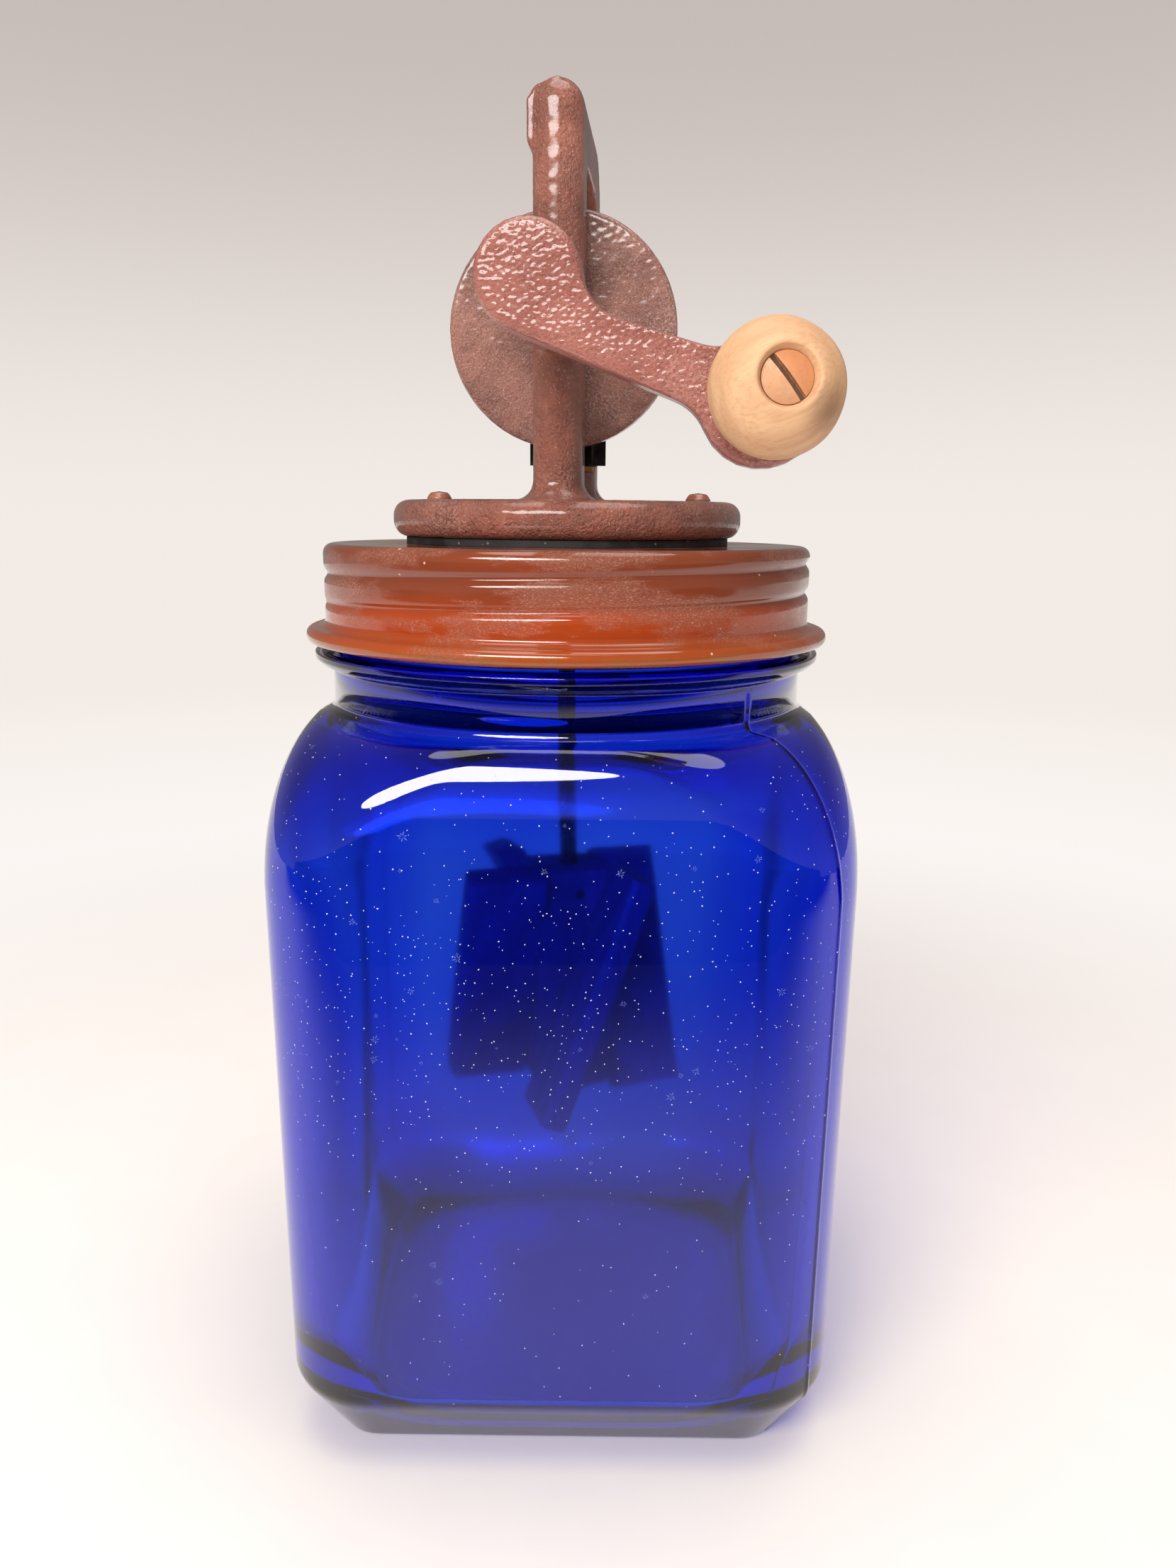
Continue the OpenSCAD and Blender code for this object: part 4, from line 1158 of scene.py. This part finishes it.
        z0, w0, c0 = outer[0]
        for share in (0.25, 0.5, 0.75, 0.9):
            rise = self.push_up * (1 - share ** 4)
            add((z0 + rise, w0 * share, max(c0 * share, 0.3 * MM)), flat, 0.0)
        for inset, rise in ((1.3 * MM, 0.0), (0.5 * MM, 0.06 * MM), (0.1 * MM, 0.3 * MM)):
            add((z0 + rise, w0 - inset, c0 - inset), flat, 0.0)
        for z, w, c in outer[1:]:
            if w < self.neck_r + self.neck_fillet and z > self.widest_z:
                break
            middle = math.exp(-(((z - self.dust_z) / self.dust_spread) ** 2))
            dust = self.dust_least + (1 - self.dust_least) * middle
            add((z, w, c), self.seam_lift, 0.0 if z < self.dust_low else dust)
        shoulder_end = z
        for k in range(1, 6):
            t = math.radians(90 * k / 5)
            r = self.neck_r + self.neck_fillet * (1 - math.sin(t))
            z = shoulder_end + (self.shoulder_z + self.neck_fillet - shoulder_end) * (1 - math.cos(t))
            add((z, r, r - 0.05 * MM), self.seam_lift, 0.05)
        for r, z in self.neck_section():
            threaded = self.ring_z + self.ring_h + 0.8 * MM < z < self.rim_z - 1.4 * MM
            on_finish = threaded and r > self.finish_r - 0.1 * MM
            add((z, r, r - 0.05 * MM), self.thread if on_finish else flat, 0.0)
        top = self.shoulder_z - self.wall
        inner = self.body_levels(self.wall, self.floor_t, self.mouth_r - self.fuse, top)
        for z in between(self.rim_z - 5 * MM, top + 2 * MM, 12):
            add((z, self.mouth_r, self.mouth_r - 0.05 * MM), flat, 0.0)
        inner = [level for level in inner if level[1] >= self.mouth_r + 1.4 * MM or level[0] < self.widest_z]
        for z, w, c in reversed(inner):
            add((z, w, c), self.inner_wave, 0.0)
        z1, w1, c1 = inner[0]
        for share in (0.9, 0.7, 0.45, 0.2):
            add((z1 + 0.6 * MM * (1 - share), w1 * share, max(c1 * share, 0.3 * MM)), flat, 0.0)
        glass = loft("glass_jar_wall", rings, Vector((0, 0, self.push_up)), Vector((0, 0, z1 + 0.6 * MM)))
        count = len(self.angles())
        mark(glass, "dust", [d for d in dusty for _ in range(count)] + [0.0, 0.0])
        inside = len(inner) + 4
        outside = len(rings) - inside
        mark(glass, "inner", [0.0] * count * outside + [1.0] * count * inside + [0.0, 1.0])
        return glass

    def speck_shape(self) -> Thing:
        """Builds one flat speck of dust, one unit across."""
        mesh = bpy.data.meshes.new("speck")
        rim = [(0.5 * math.cos(a) * 0.8, 0.5 * math.sin(a), 0.06) for a in circle(6)]
        mesh.from_pydata([*rim, (0.0, 0.0, 0.25)], [], [(k, (k + 1) % 6, 6) for k in range(6)])
        return new_object("speck", mesh)

    def fleck_shape(self) -> Thing:
        """Builds one dried fleck, a loose star of short strokes one unit across."""
        verts, faces = [], []
        for k, (angle, near, far) in enumerate((
            (0.2, 0.05, 0.5), (1.15, 0.1, 0.36), (2.2, 0.0, 0.46), (3.0, 0.12, 0.3),
            (3.9, 0.05, 0.5), (4.6, 0.16, 0.34), (5.5, 0.08, 0.44),
        )):
            along = polar(1, angle, 0)
            side = Vector((-along.y, along.x, 0))
            low, mid, tip = along * near, along * (near + far) / 2, along * far
            at = len(verts)
            lift = Vector((0, 0, 0.03 + 0.005 * k))
            verts += [low + lift, mid + side * 0.055 + lift, tip + lift, mid - side * 0.045 + lift]
            faces.append((at + 3, at + 2, at + 1, at))
        mesh = bpy.data.meshes.new("fleck")
        mesh.from_pydata(verts, [], [tuple(reversed(f)) for f in faces])
        return new_object("fleck", mesh)

    def dust(self, glass: Thing) -> None:
        """Scatters specks and dried flecks over the outside of the glass."""
        for name, shape, finish, density, seed, small, large in (
            ("jar_specks", self.speck_shape(), DUST, 120000.0, 11, 0.14 * MM, 0.38 * MM),
            ("jar_flecks", self.fleck_shape(), FROST, 4200.0, 23, 0.8 * MM, 2.6 * MM),
        ):
            spread = new_object(name, glass.data.copy())
            scatter_tree("scattered_" + name, shape).apply(
                spread, Material=finish.material(), Density=density, Seed=seed, Smallest=small, Largest=large
            )
            put(spread, Body.JAR, Slot.GLASS)
            bpy.data.objects.remove(shape)

    def dress(self) -> None:
        """Builds the jar and puts it in its place."""
        glass = self.build()
        self.dust(glass)
        glass.data.attributes.remove(glass.data.attributes["dust"])
        glass.data.materials.append(GLASS.material())
        put(glass, Body.JAR, Slot.GLASS, "glass_jar")
        dress_node("cap_seal", SEAL)


@dataclass
class Cap:
    """Pressed screw cap with thread rolls that climb, and a rolled bead."""

    radius: float = 55.75 * MM
    top_z: float = 199.4 * MM
    sheet: float = 0.9 * MM
    edge_r: float = 2.2 * MM
    low_z: float = 182.6 * MM
    bead_z: float = 179.3 * MM
    bead_r: float = 1.75 * MM
    bead_mid_r: float = 58.4 * MM
    groove: Thread = Thread(187.8 * MM, 1.2 * MM, 0.85 * MM, -0.25, 1.36, 0.12, 0.1, sharp=1.6)
    steps: int = 288
    hole_r: float = 4.4 * MM

    def section(self) -> list[tuple[float, float, bool, float]]:
        """Points of the sheet's section from the middle of the top over the bead and back inside.

        Returns:
            Radius, height, whether the thread shapes it, and wear, of each point.
        """
        found: list[tuple[float, float, bool, float]] = []
        flat_r = self.radius - self.edge_r
        for share in (0.1, 0.3, 0.5, 0.7, 0.82, 0.92, 0.98):
            found.append((self.hole_r + (flat_r - self.hole_r) * share, self.top_z, False, 0.0))
        for k in range(9):
            a = math.radians(90 * k / 8)
            r, z = flat_r + self.edge_r * math.sin(a), self.top_z - self.edge_r * (1 - math.cos(a))
            found.append((r, z, False, 0.1))
        start = self.top_z - self.edge_r
        found += [(self.radius, z, True, 0.0) for z in between(start, self.low_z, 44)[1:]]
        first = (self.radius, self.low_z)
        last = (self.bead_mid_r - 0.4 * MM, self.bead_z + self.bead_r * 1.02)
        for k in range(1, 9):
            t = k / 8
            found.append((
                first[0] + (last[0] - first[0]) * (1 - math.cos(math.pi * t / 2)),
                first[1] + (last[1] - first[1]) * math.sin(math.pi * t / 2), False, 0.1 + 0.4 * t,
            ))
        for k in range(1, 19):
            a = math.radians(96 - 288 * k / 18)
            r, z = self.bead_mid_r + self.bead_r * math.cos(a), self.bead_z + self.bead_r * math.sin(a)
            found.append((r, z, False, 0.9 if a < 0.2 else 0.35))
        inside = self.radius - self.sheet
        found.append((inside + 0.5 * MM, self.low_z - 1.0 * MM, False, 0.0))
        under = self.top_z - self.sheet
        found += [(inside, z, True, 0.0) for z in between(self.low_z, under - 1.6 * MM, 40)]
        found += [(inside - 0.5 * MM, under - 0.5 * MM, False, 0.0), (inside - 1.6 * MM, under, False, 0.0)]
        for share in (0.95, 0.7, 0.4, 0.1):
            found.append((self.hole_r + (flat_r - self.hole_r) * share, under, False, 0.0))
        found += [(self.hole_r, under, False, 0.0), (self.hole_r, self.top_z, False, 0.0)]
        return found

    def build(self) -> Thing:
        """Builds the cap as one closed sheet.

        Returns:
            The cap, with its "worn" attribute set.
        """
        rings, wear = [], []
        for r, z, threaded, worn in reversed(self.section()):
            ring = []
            for angle in circle(self.steps):
                dent = 0.05 * MM * hills.noise(polar(3, angle, z / 0.006))
                reach = r - (self.groove.rise(angle, z) if threaded else 0.0) + (dent if r > 50 * MM else 0.0)
                ring.append(polar(reach, angle, z))
            rings.append(ring)
            wear += [worn] * self.steps
        cap = loft("screw_cap_sheet", rings, None, None)
        mark(cap, "worn", wear)
        return cap

    def dress(self) -> None:
        """Builds the cap and puts it in its place."""
        cap = self.build()
        cap.data.materials.append(CAP_PAINT.material())
        put(cap, Body.TOP, Slot.CAP, "screw_cap")
        dress_node("base_gasket", GASKET)


@dataclass(frozen=True)
class Casting:
    """A cast piece: its node, body, paint and mesh, and how rough its sides and its face are."""

    node: str
    body: Body
    paint: Finish
    voxel: float
    rounds: int
    grain: float
    depth: float
    face_depth: float = 0.0
    facing: tuple[float, float, float] = (0.0, -1.0, 0.0)
    stretch: tuple[float, float, float] = (1.0, 1.0, 1.0)

    def dress(self, skin: ShapeTree) -> None:
        """Gives the node's shape soft edges and the skin of a casting, and puts it in its place."""
        piece = cad_copy(self.node, self.node + "_cast")
        squares = piece.modifiers.new("squares", "REMESH")
        squares.mode = "VOXEL"
        squares.voxel_size = self.voxel
        soften = piece.modifiers.new("soften", "SMOOTH")
        soften.factor = 0.5
        soften.iterations = self.rounds
        settle(piece)
        skin.apply(
            piece, Material=self.paint.material(), Grain=self.grain, Depth=self.depth,
            Facing=self.facing, Face_Depth=self.face_depth, Stretch=self.stretch,
        )
        put(piece, self.body, Slot.CASTING, self.node)


@dataclass
class Castings:
    """The arch on its plate, the crank arm and the drive gear."""

    pieces: tuple[Casting, ...] = (
        Casting("frame", Body.TOP, CASTING_PAINT, 0.5 * MM, 5, 620.0, 0.16 * MM, facing=(0.0, 0.0, -1.0)),
        Casting(
            "crank_arm", Body.CRANK, ARM_PAINT, 0.26 * MM, 5, 1600.0, 0.06 * MM, 0.5 * MM,
            stretch=(0.75, 1.0, 1.3),
        ),
        Casting("drive_gear", Body.CRANK, GEAR_PAINT, 0.36 * MM, 3, 900.0, 0.1 * MM, 0.12 * MM),
    )

    def dress(self) -> None:
        """Builds the castings one after another."""
        skin = cast_skin_tree()
        for piece in self.pieces:
            piece.dress(skin)


@dataclass
class Rivets:
    """Two rivets through the plate, with their burrs inside the cap."""

    reach: float = 30.0 * MM
    head_r: float = 2.85 * MM
    head_h: float = 2.0 * MM
    head_z: float = 209.04 * MM
    shank_r: float = 1.6 * MM
    foot_z: float = 197.0 * MM
    count: int = 2

    def dress(self) -> None:
        """Builds the rivets from one turned shape."""
        section = rounded([
            (0.0, self.foot_z, 0), (self.shank_r, self.foot_z, 0.3 * MM), (self.shank_r, self.head_z, 0),
            (self.head_r * 0.98, self.head_z, 0.2 * MM), (self.head_r, self.head_z + 0.5 * MM, 0.3 * MM),
            (self.head_r * 0.72, self.head_z + self.head_h * 0.86, 1.1 * MM),
            (0.0, self.head_z + self.head_h, 0),
        ])
        rivet = lathe("plate_rivets", section, 28, Matrix.Translation((self.reach, 0, 0)))
        ring_tree().apply(rivet, Material=RIVET_PAINT.material(), Count=self.count)
        put(rivet, Body.TOP, Slot.CASTING, "frame_rivets")
        dress_node("rivet_burrs", WASHER_STEEL)
        dress_node("rod_bush", BRONZE)


@dataclass
class Drive:
    """Axle, pins, washers and pinion, which keep their solids."""

    steel: tuple[str, ...] = (
        "crank_axle", "crank_pin", "gear_pin", "pinion_pin",
        "rod_collar", "collar_pin", "dasher_pin", "dasher_rod",
    )
    washers: tuple[str, ...] = ("thrust_washer", "gear_washer", "knob_washer")

    def dress(self) -> None:
        """Gives the plain metal pieces their finishes."""
        for node in self.steel:
            dress_node(node, DARK_STEEL)
        for node in self.washers:
            dress_node(node, WASHER_STEEL)
        dress_node("pinion", PINION_IRON)


@dataclass
class Knob:
    """Turned wooden ball on a tilted screw."""

    foot: Vector = Vector((39.472 * MM, -75.0 * MM, 224.488 * MM))
    along: Vector = Vector((0.121202, -0.987112, 0.104528))
    base: float = 2.365 * MM
    middle: float = 10.365 * MM
    radius: float = 10.8 * MM
    bore_r: float = 2.5 * MM
    recess_floor: float = 16.565 * MM
    recess_r: float = 4.06 * MM
    recess_rim: float = 5.2 * MM
    steps: int = 96

    def place(self) -> Matrix:
        """Matrix from the knob's own axis, along Z, to the part's frame."""
        return Matrix.Translation(self.foot) @ self.along.to_track_quat("Z", "Y").to_matrix().to_4x4()

    def build(self) -> Thing:
        """Builds the ball with its bore and the recess for the screw's head."""
        section = [(self.bore_r, self.base), (self.bore_r + 0.8 * MM, self.base)]
        low = math.acos((self.base - self.middle) / self.radius)
        rim = math.asin(self.recess_rim / self.radius)
        foot_r = self.radius * math.sin(low)
        section += [(foot_r - 1.2 * MM, self.base), (foot_r - 0.3 * MM, self.base + 0.12 * MM)]
        for a in between(low, rim, 44)[1:]:
            section.append((self.radius * math.sin(a), self.middle + self.radius * math.cos(a)))
        top_z = self.middle + self.radius * math.cos(rim)
        section += rounded([
            (self.recess_rim, top_z, 0), (self.recess_rim - 0.45 * MM, top_z - 0.15 * MM, 0.4 * MM),
            (self.recess_r, self.recess_floor + 1.7 * MM, 0.5 * MM),
            (self.recess_r, self.recess_floor + 0.4 * MM, 0),
            (self.recess_r - 0.5 * MM, self.recess_floor, 0.4 * MM), (self.bore_r, self.recess_floor, 0),
        ])[1:]
        place = self.place()
        rings = []
        for r, z in section:
            ring = []
            for a in circle(self.steps):
                at = polar(r, a, z)
                lift = 0.14 * MM * hills.noise(at / 0.007) if r > 4.2 * MM else 0.0
                ring.append(place @ (at + at.normalized() * lift))
            rings.append(ring)
        return loft("knob_ball", rings, None, None)

    def dress(self) -> None:
        """Builds the knob and gives its screw a finish."""
        ball = self.build()
        heart = self.foot + self.along * self.middle
        # centre of the darker patch, low on the ball's +X front side
        dark_patch = heart + Vector((7.4, -6.2, -3.6)).normalized() * self.radius
        wood = RawWood(dark_patch_at=tuple(dark_patch), turn=(0.0, math.radians(24.0), 0.0))
        ball.data.materials.append(wood.material())
        put(ball, Body.KNOB, Slot.KNOB, "knob")
        dress_node("knob_screw", SCREW_BRASS)


@dataclass
class Dasher:
    """Square wooden hub with four pitched paddles on dowels."""

    bevel: float = 0.7 * MM
    paddles: int = 4

    def carve(self, node: str, name: str) -> Thing:
        """Copies a wooden node and breaks its sharp edges."""
        piece = cad_copy(node, name)
        edge = piece.modifiers.new("broken_edges", "BEVEL")
        edge.width = self.bevel
        edge.segments = 2
        edge.limit_method = "ANGLE"
        edge.angle_limit = math.radians(40)
        settle(piece)
        piece.data.shade_smooth()
        piece.data.set_sharp_from_angle(angle=math.radians(35))
        return piece

    def dress(self) -> None:
        """Builds the wooden pieces and puts them in their places."""
        hub = self.carve("dasher_hub", "dasher_hub_block")
        hub.data.materials.append(DASHER_WOOD.material())
        put(hub, Body.DASHER, Slot.DASHER, "dasher_hub")
        blades = self.carve("paddle_1", "dasher_paddles")
        ring_tree().apply(blades, Material=DASHER_WOOD.material(), Count=self.paddles)
        put(blades, Body.DASHER, Slot.DASHER, *[f"paddle_{k + 1}" for k in range(self.paddles)])
        dress_node("paddle_dowels", DASHER_WOOD)


# ---------------------------------------------------------------------- stage


@dataclass(frozen=True)
class Lamp:
    """A soft lamp: its place, the point that it faces, its size and its power in watts."""

    name: str
    at: tuple[float, float, float]
    aim: tuple[float, float, float]
    size: tuple[float, float]
    watts: float
    colour: Colour = (1.0, 0.97, 0.94)

    def build(self) -> None:
        """Adds the lamp to the scene."""
        light = bpy.data.lights.new(self.name, "AREA")
        light.shape = "ELLIPSE"
        light.size, light.size_y = self.size
        light.energy = self.watts
        light.color = self.colour
        holder = new_object(self.name, light)
        way = Vector(self.aim) - Vector(self.at)
        holder.matrix_world = Matrix.Translation(self.at) @ way.to_track_quat("-Z", "Y").to_matrix().to_4x4()


@dataclass
class Studio:
    """Camera, pale floor, soft lamps and a plain background."""

    lens: float = 27.454
    eye: Vector = Vector((0.02658, -0.28288, 0.2062))
    pitch: float = math.radians(12.729)
    pan: float = math.radians(-4.302)
    roll: float = math.radians(0.509)
    table_front: float = -0.35
    table_rings: tuple[float, ...] = (0.05, 0.1, 0.2, 0.4, 0.8, 1.6, 4.0)
    table_steps: int = 48
    table_gap: float = 0.2 * MM
    room: Colour = linear(243, 235, 229)
    room_top: Colour = linear(198, 188, 183)
    diffuse_light: float = 0.72
    mirrored_light: float = 0.3
    card_half: float = 1.2
    card_h: float = 0.17
    lamps: tuple[Lamp, ...] = (
        Lamp("key", (-0.22, -0.72, 0.58), (0.0, 0.0, 0.2), (0.64, 0.26), 6.6),
        Lamp("overhead", (0.06, -0.08, 1.2), (0.0, 0.0, 0.1), (1.0, 1.0), 6.9),
    )

    def camera(self) -> None:
        """Sets the camera at the photograph's viewpoint."""
        sp, cp = math.sin(self.pitch), math.cos(self.pitch)
        sn, cn = math.sin(self.pan), math.cos(self.pan)
        right, forward = Vector((cn, -sn, 0)), Vector((sn * cp, cn * cp, -sp))
        up = Vector((sn * sp, cn * sp, cp))
        across = right * math.cos(self.roll) + up * math.sin(self.roll)
        upright = up * math.cos(self.roll) - right * math.sin(self.roll)
        eye = bpy.data.cameras.new("eye")
        eye.sensor_width = 36.0
        eye.lens = self.lens
        eye.clip_start, eye.clip_end = 0.01, 20.0
        holder = new_object("eye", eye)
        turn = Matrix((across, upright, -forward)).transposed().to_4x4()
        holder.matrix_world = Matrix.Translation(self.eye) @ turn
        bpy.context.scene.camera = holder

    def seen(self, wires: Wires, mirrored: object) -> Socket:
        """Share of the background that a ray shows: all for camera and glass rays, less for mirror rays."""
        path = wires.node("ShaderNodeLightPath")
        shown = wires.math("MAXIMUM", path.outputs["Is Camera Ray"], path.outputs["Is Transmission Ray"])
        return wires.math("MAXIMUM", shown, wires.times(path.outputs["Is Glossy Ray"], mirrored))

    def world(self) -> None:
        """Pale warm surroundings, greyer towards the top."""
        sky = bpy.data.worlds.new("pale_room")
        wires = bare_tree(sky)
        way = wires.split(wires.node("ShaderNodeTexCoord").outputs["Generated"])
        height = wires.ramp(way[2], -0.02, 0.36)
        colour = wires.blend(height, self.room, self.room_top)
        soft = wires.times(wires.node("ShaderNodeLightPath").outputs["Is Diffuse Ray"], self.diffuse_light)
        strength = wires.math("MAXIMUM", self.seen(wires, self.mirrored_light), soft)
        shade = wires.node("ShaderNodeBackground", {"Color": colour, "Strength": strength})
        wires.node("ShaderNodeOutputWorld", {"Surface": shade.outputs[0]})
        bpy.context.scene.world = sky

    def floor(self) -> None:
        """Pale table that fades into the background away from the churn."""
        mesh = bpy.data.meshes.new("table")
        count = self.table_steps
        verts = [Vector((0.0, 0.0, 0.0))]
        verts += [polar(r, a, 0.0) for r in self.table_rings for a in circle(count)]
        faces: list[tuple[int, ...]] = [(0, 1 + k, 1 + (k + 1) % count) for k in range(count)]
        for ring in range(len(self.table_rings) - 1):
            a, b = 1 + ring * count, 1 + (ring + 1) * count
            faces += [(a + k, b + k, b + (k + 1) % count, a + (k + 1) % count) for k in range(count)]
        mesh.from_pydata(verts, [], faces)
        table = new_object("table", mesh)
        table.location.z = -self.table_gap
        paint = bpy.data.materials.new("pale_table")
        wires = bare_tree(paint)
        place = wires.node("ShaderNodeTexCoord").outputs["Object"]
        far = wires.node("ShaderNodeVectorMath", {0: place}, operation="LENGTH").outputs["Value"]
        front = wires.split(place)[1]
        mirrored = wires.node("ShaderNodeLightPath").outputs["Is Glossy Ray"]
        dim = wires.times(mirrored, wires.ramp(front, -0.08, -0.34, 0.0, 0.95))
        mottle = wires.noise(place, 40.0, 4.0)
        paper = wires.blend(mottle, linear(246, 241, 238), linear(250, 246, 243))
        matt = wires.node("ShaderNodeBsdfDiffuse", {"Color": wires.blend(dim, paper, linear(20, 18, 18))})
        glow = wires.node("ShaderNodeEmission", {"Strength": wires.minus(1.0, dim)})
        tint = wires.blend(wires.ramp(far, 0.3, 1.4), linear(252, 247, 244), self.room)
        wires.feed(glow.inputs["Color"], tint)
        share = wires.times(self.seen(wires, 1.0), wires.ramp(far, 0.12, 0.55))
        both = wires.node("ShaderNodeMixShader", {0: share, 1: matt.outputs[0], 2: glow.outputs[0]})
        wires.node("ShaderNodeOutputMaterial", {"Surface": both.outputs[0]})
        mesh.materials.append(paint)

    def dark_card(self) -> None:
        """Dark side of the room behind the camera, which only mirrors show."""
        mesh = bpy.data.meshes.new("room_side")
        y = self.table_front
        x, back = self.card_half, y - 0.02
        corners = [(-x, y, 0.0), (x, y, 0.0), (x, back, self.card_h), (-x, back, self.card_h)]
        mesh.from_pydata(corners, [], [(0, 1, 2, 3)])
        card = new_object("room_side", mesh)
        paint = bpy.data.materials.new("room_side")
        wires = bare_tree(paint)
        shade = wires.node("ShaderNodeEmission", {"Color": linear(46, 40, 42), "Strength": 1.0})
        wires.node("ShaderNodeOutputMaterial", {"Surface": shade.outputs[0]})
        mesh.materials.append(paint)
        card.visible_camera = card.visible_diffuse = card.visible_transmission = card.visible_shadow = False

    def dress(self) -> None:
        """Sets the whole stage."""
        self.camera()
        self.world()
        self.floor()
        self.dark_card()
        for lamp in self.lamps:
            lamp.build()
        bpy.context.scene.view_settings.view_transform = "Standard"


def main() -> None:
    """Builds every sub-assembly in order."""
    logging.basicConfig(level=logging.INFO, format="%(name)s: %(message)s")
    for part in (Studio(), Jar(), Cap(), Castings(), Rivets(), Drive(), Knob(), Dasher()):
        log.info("building the %s", type(part).__name__.lower())
        part.dress()


if __name__ == "__main__":
    main()
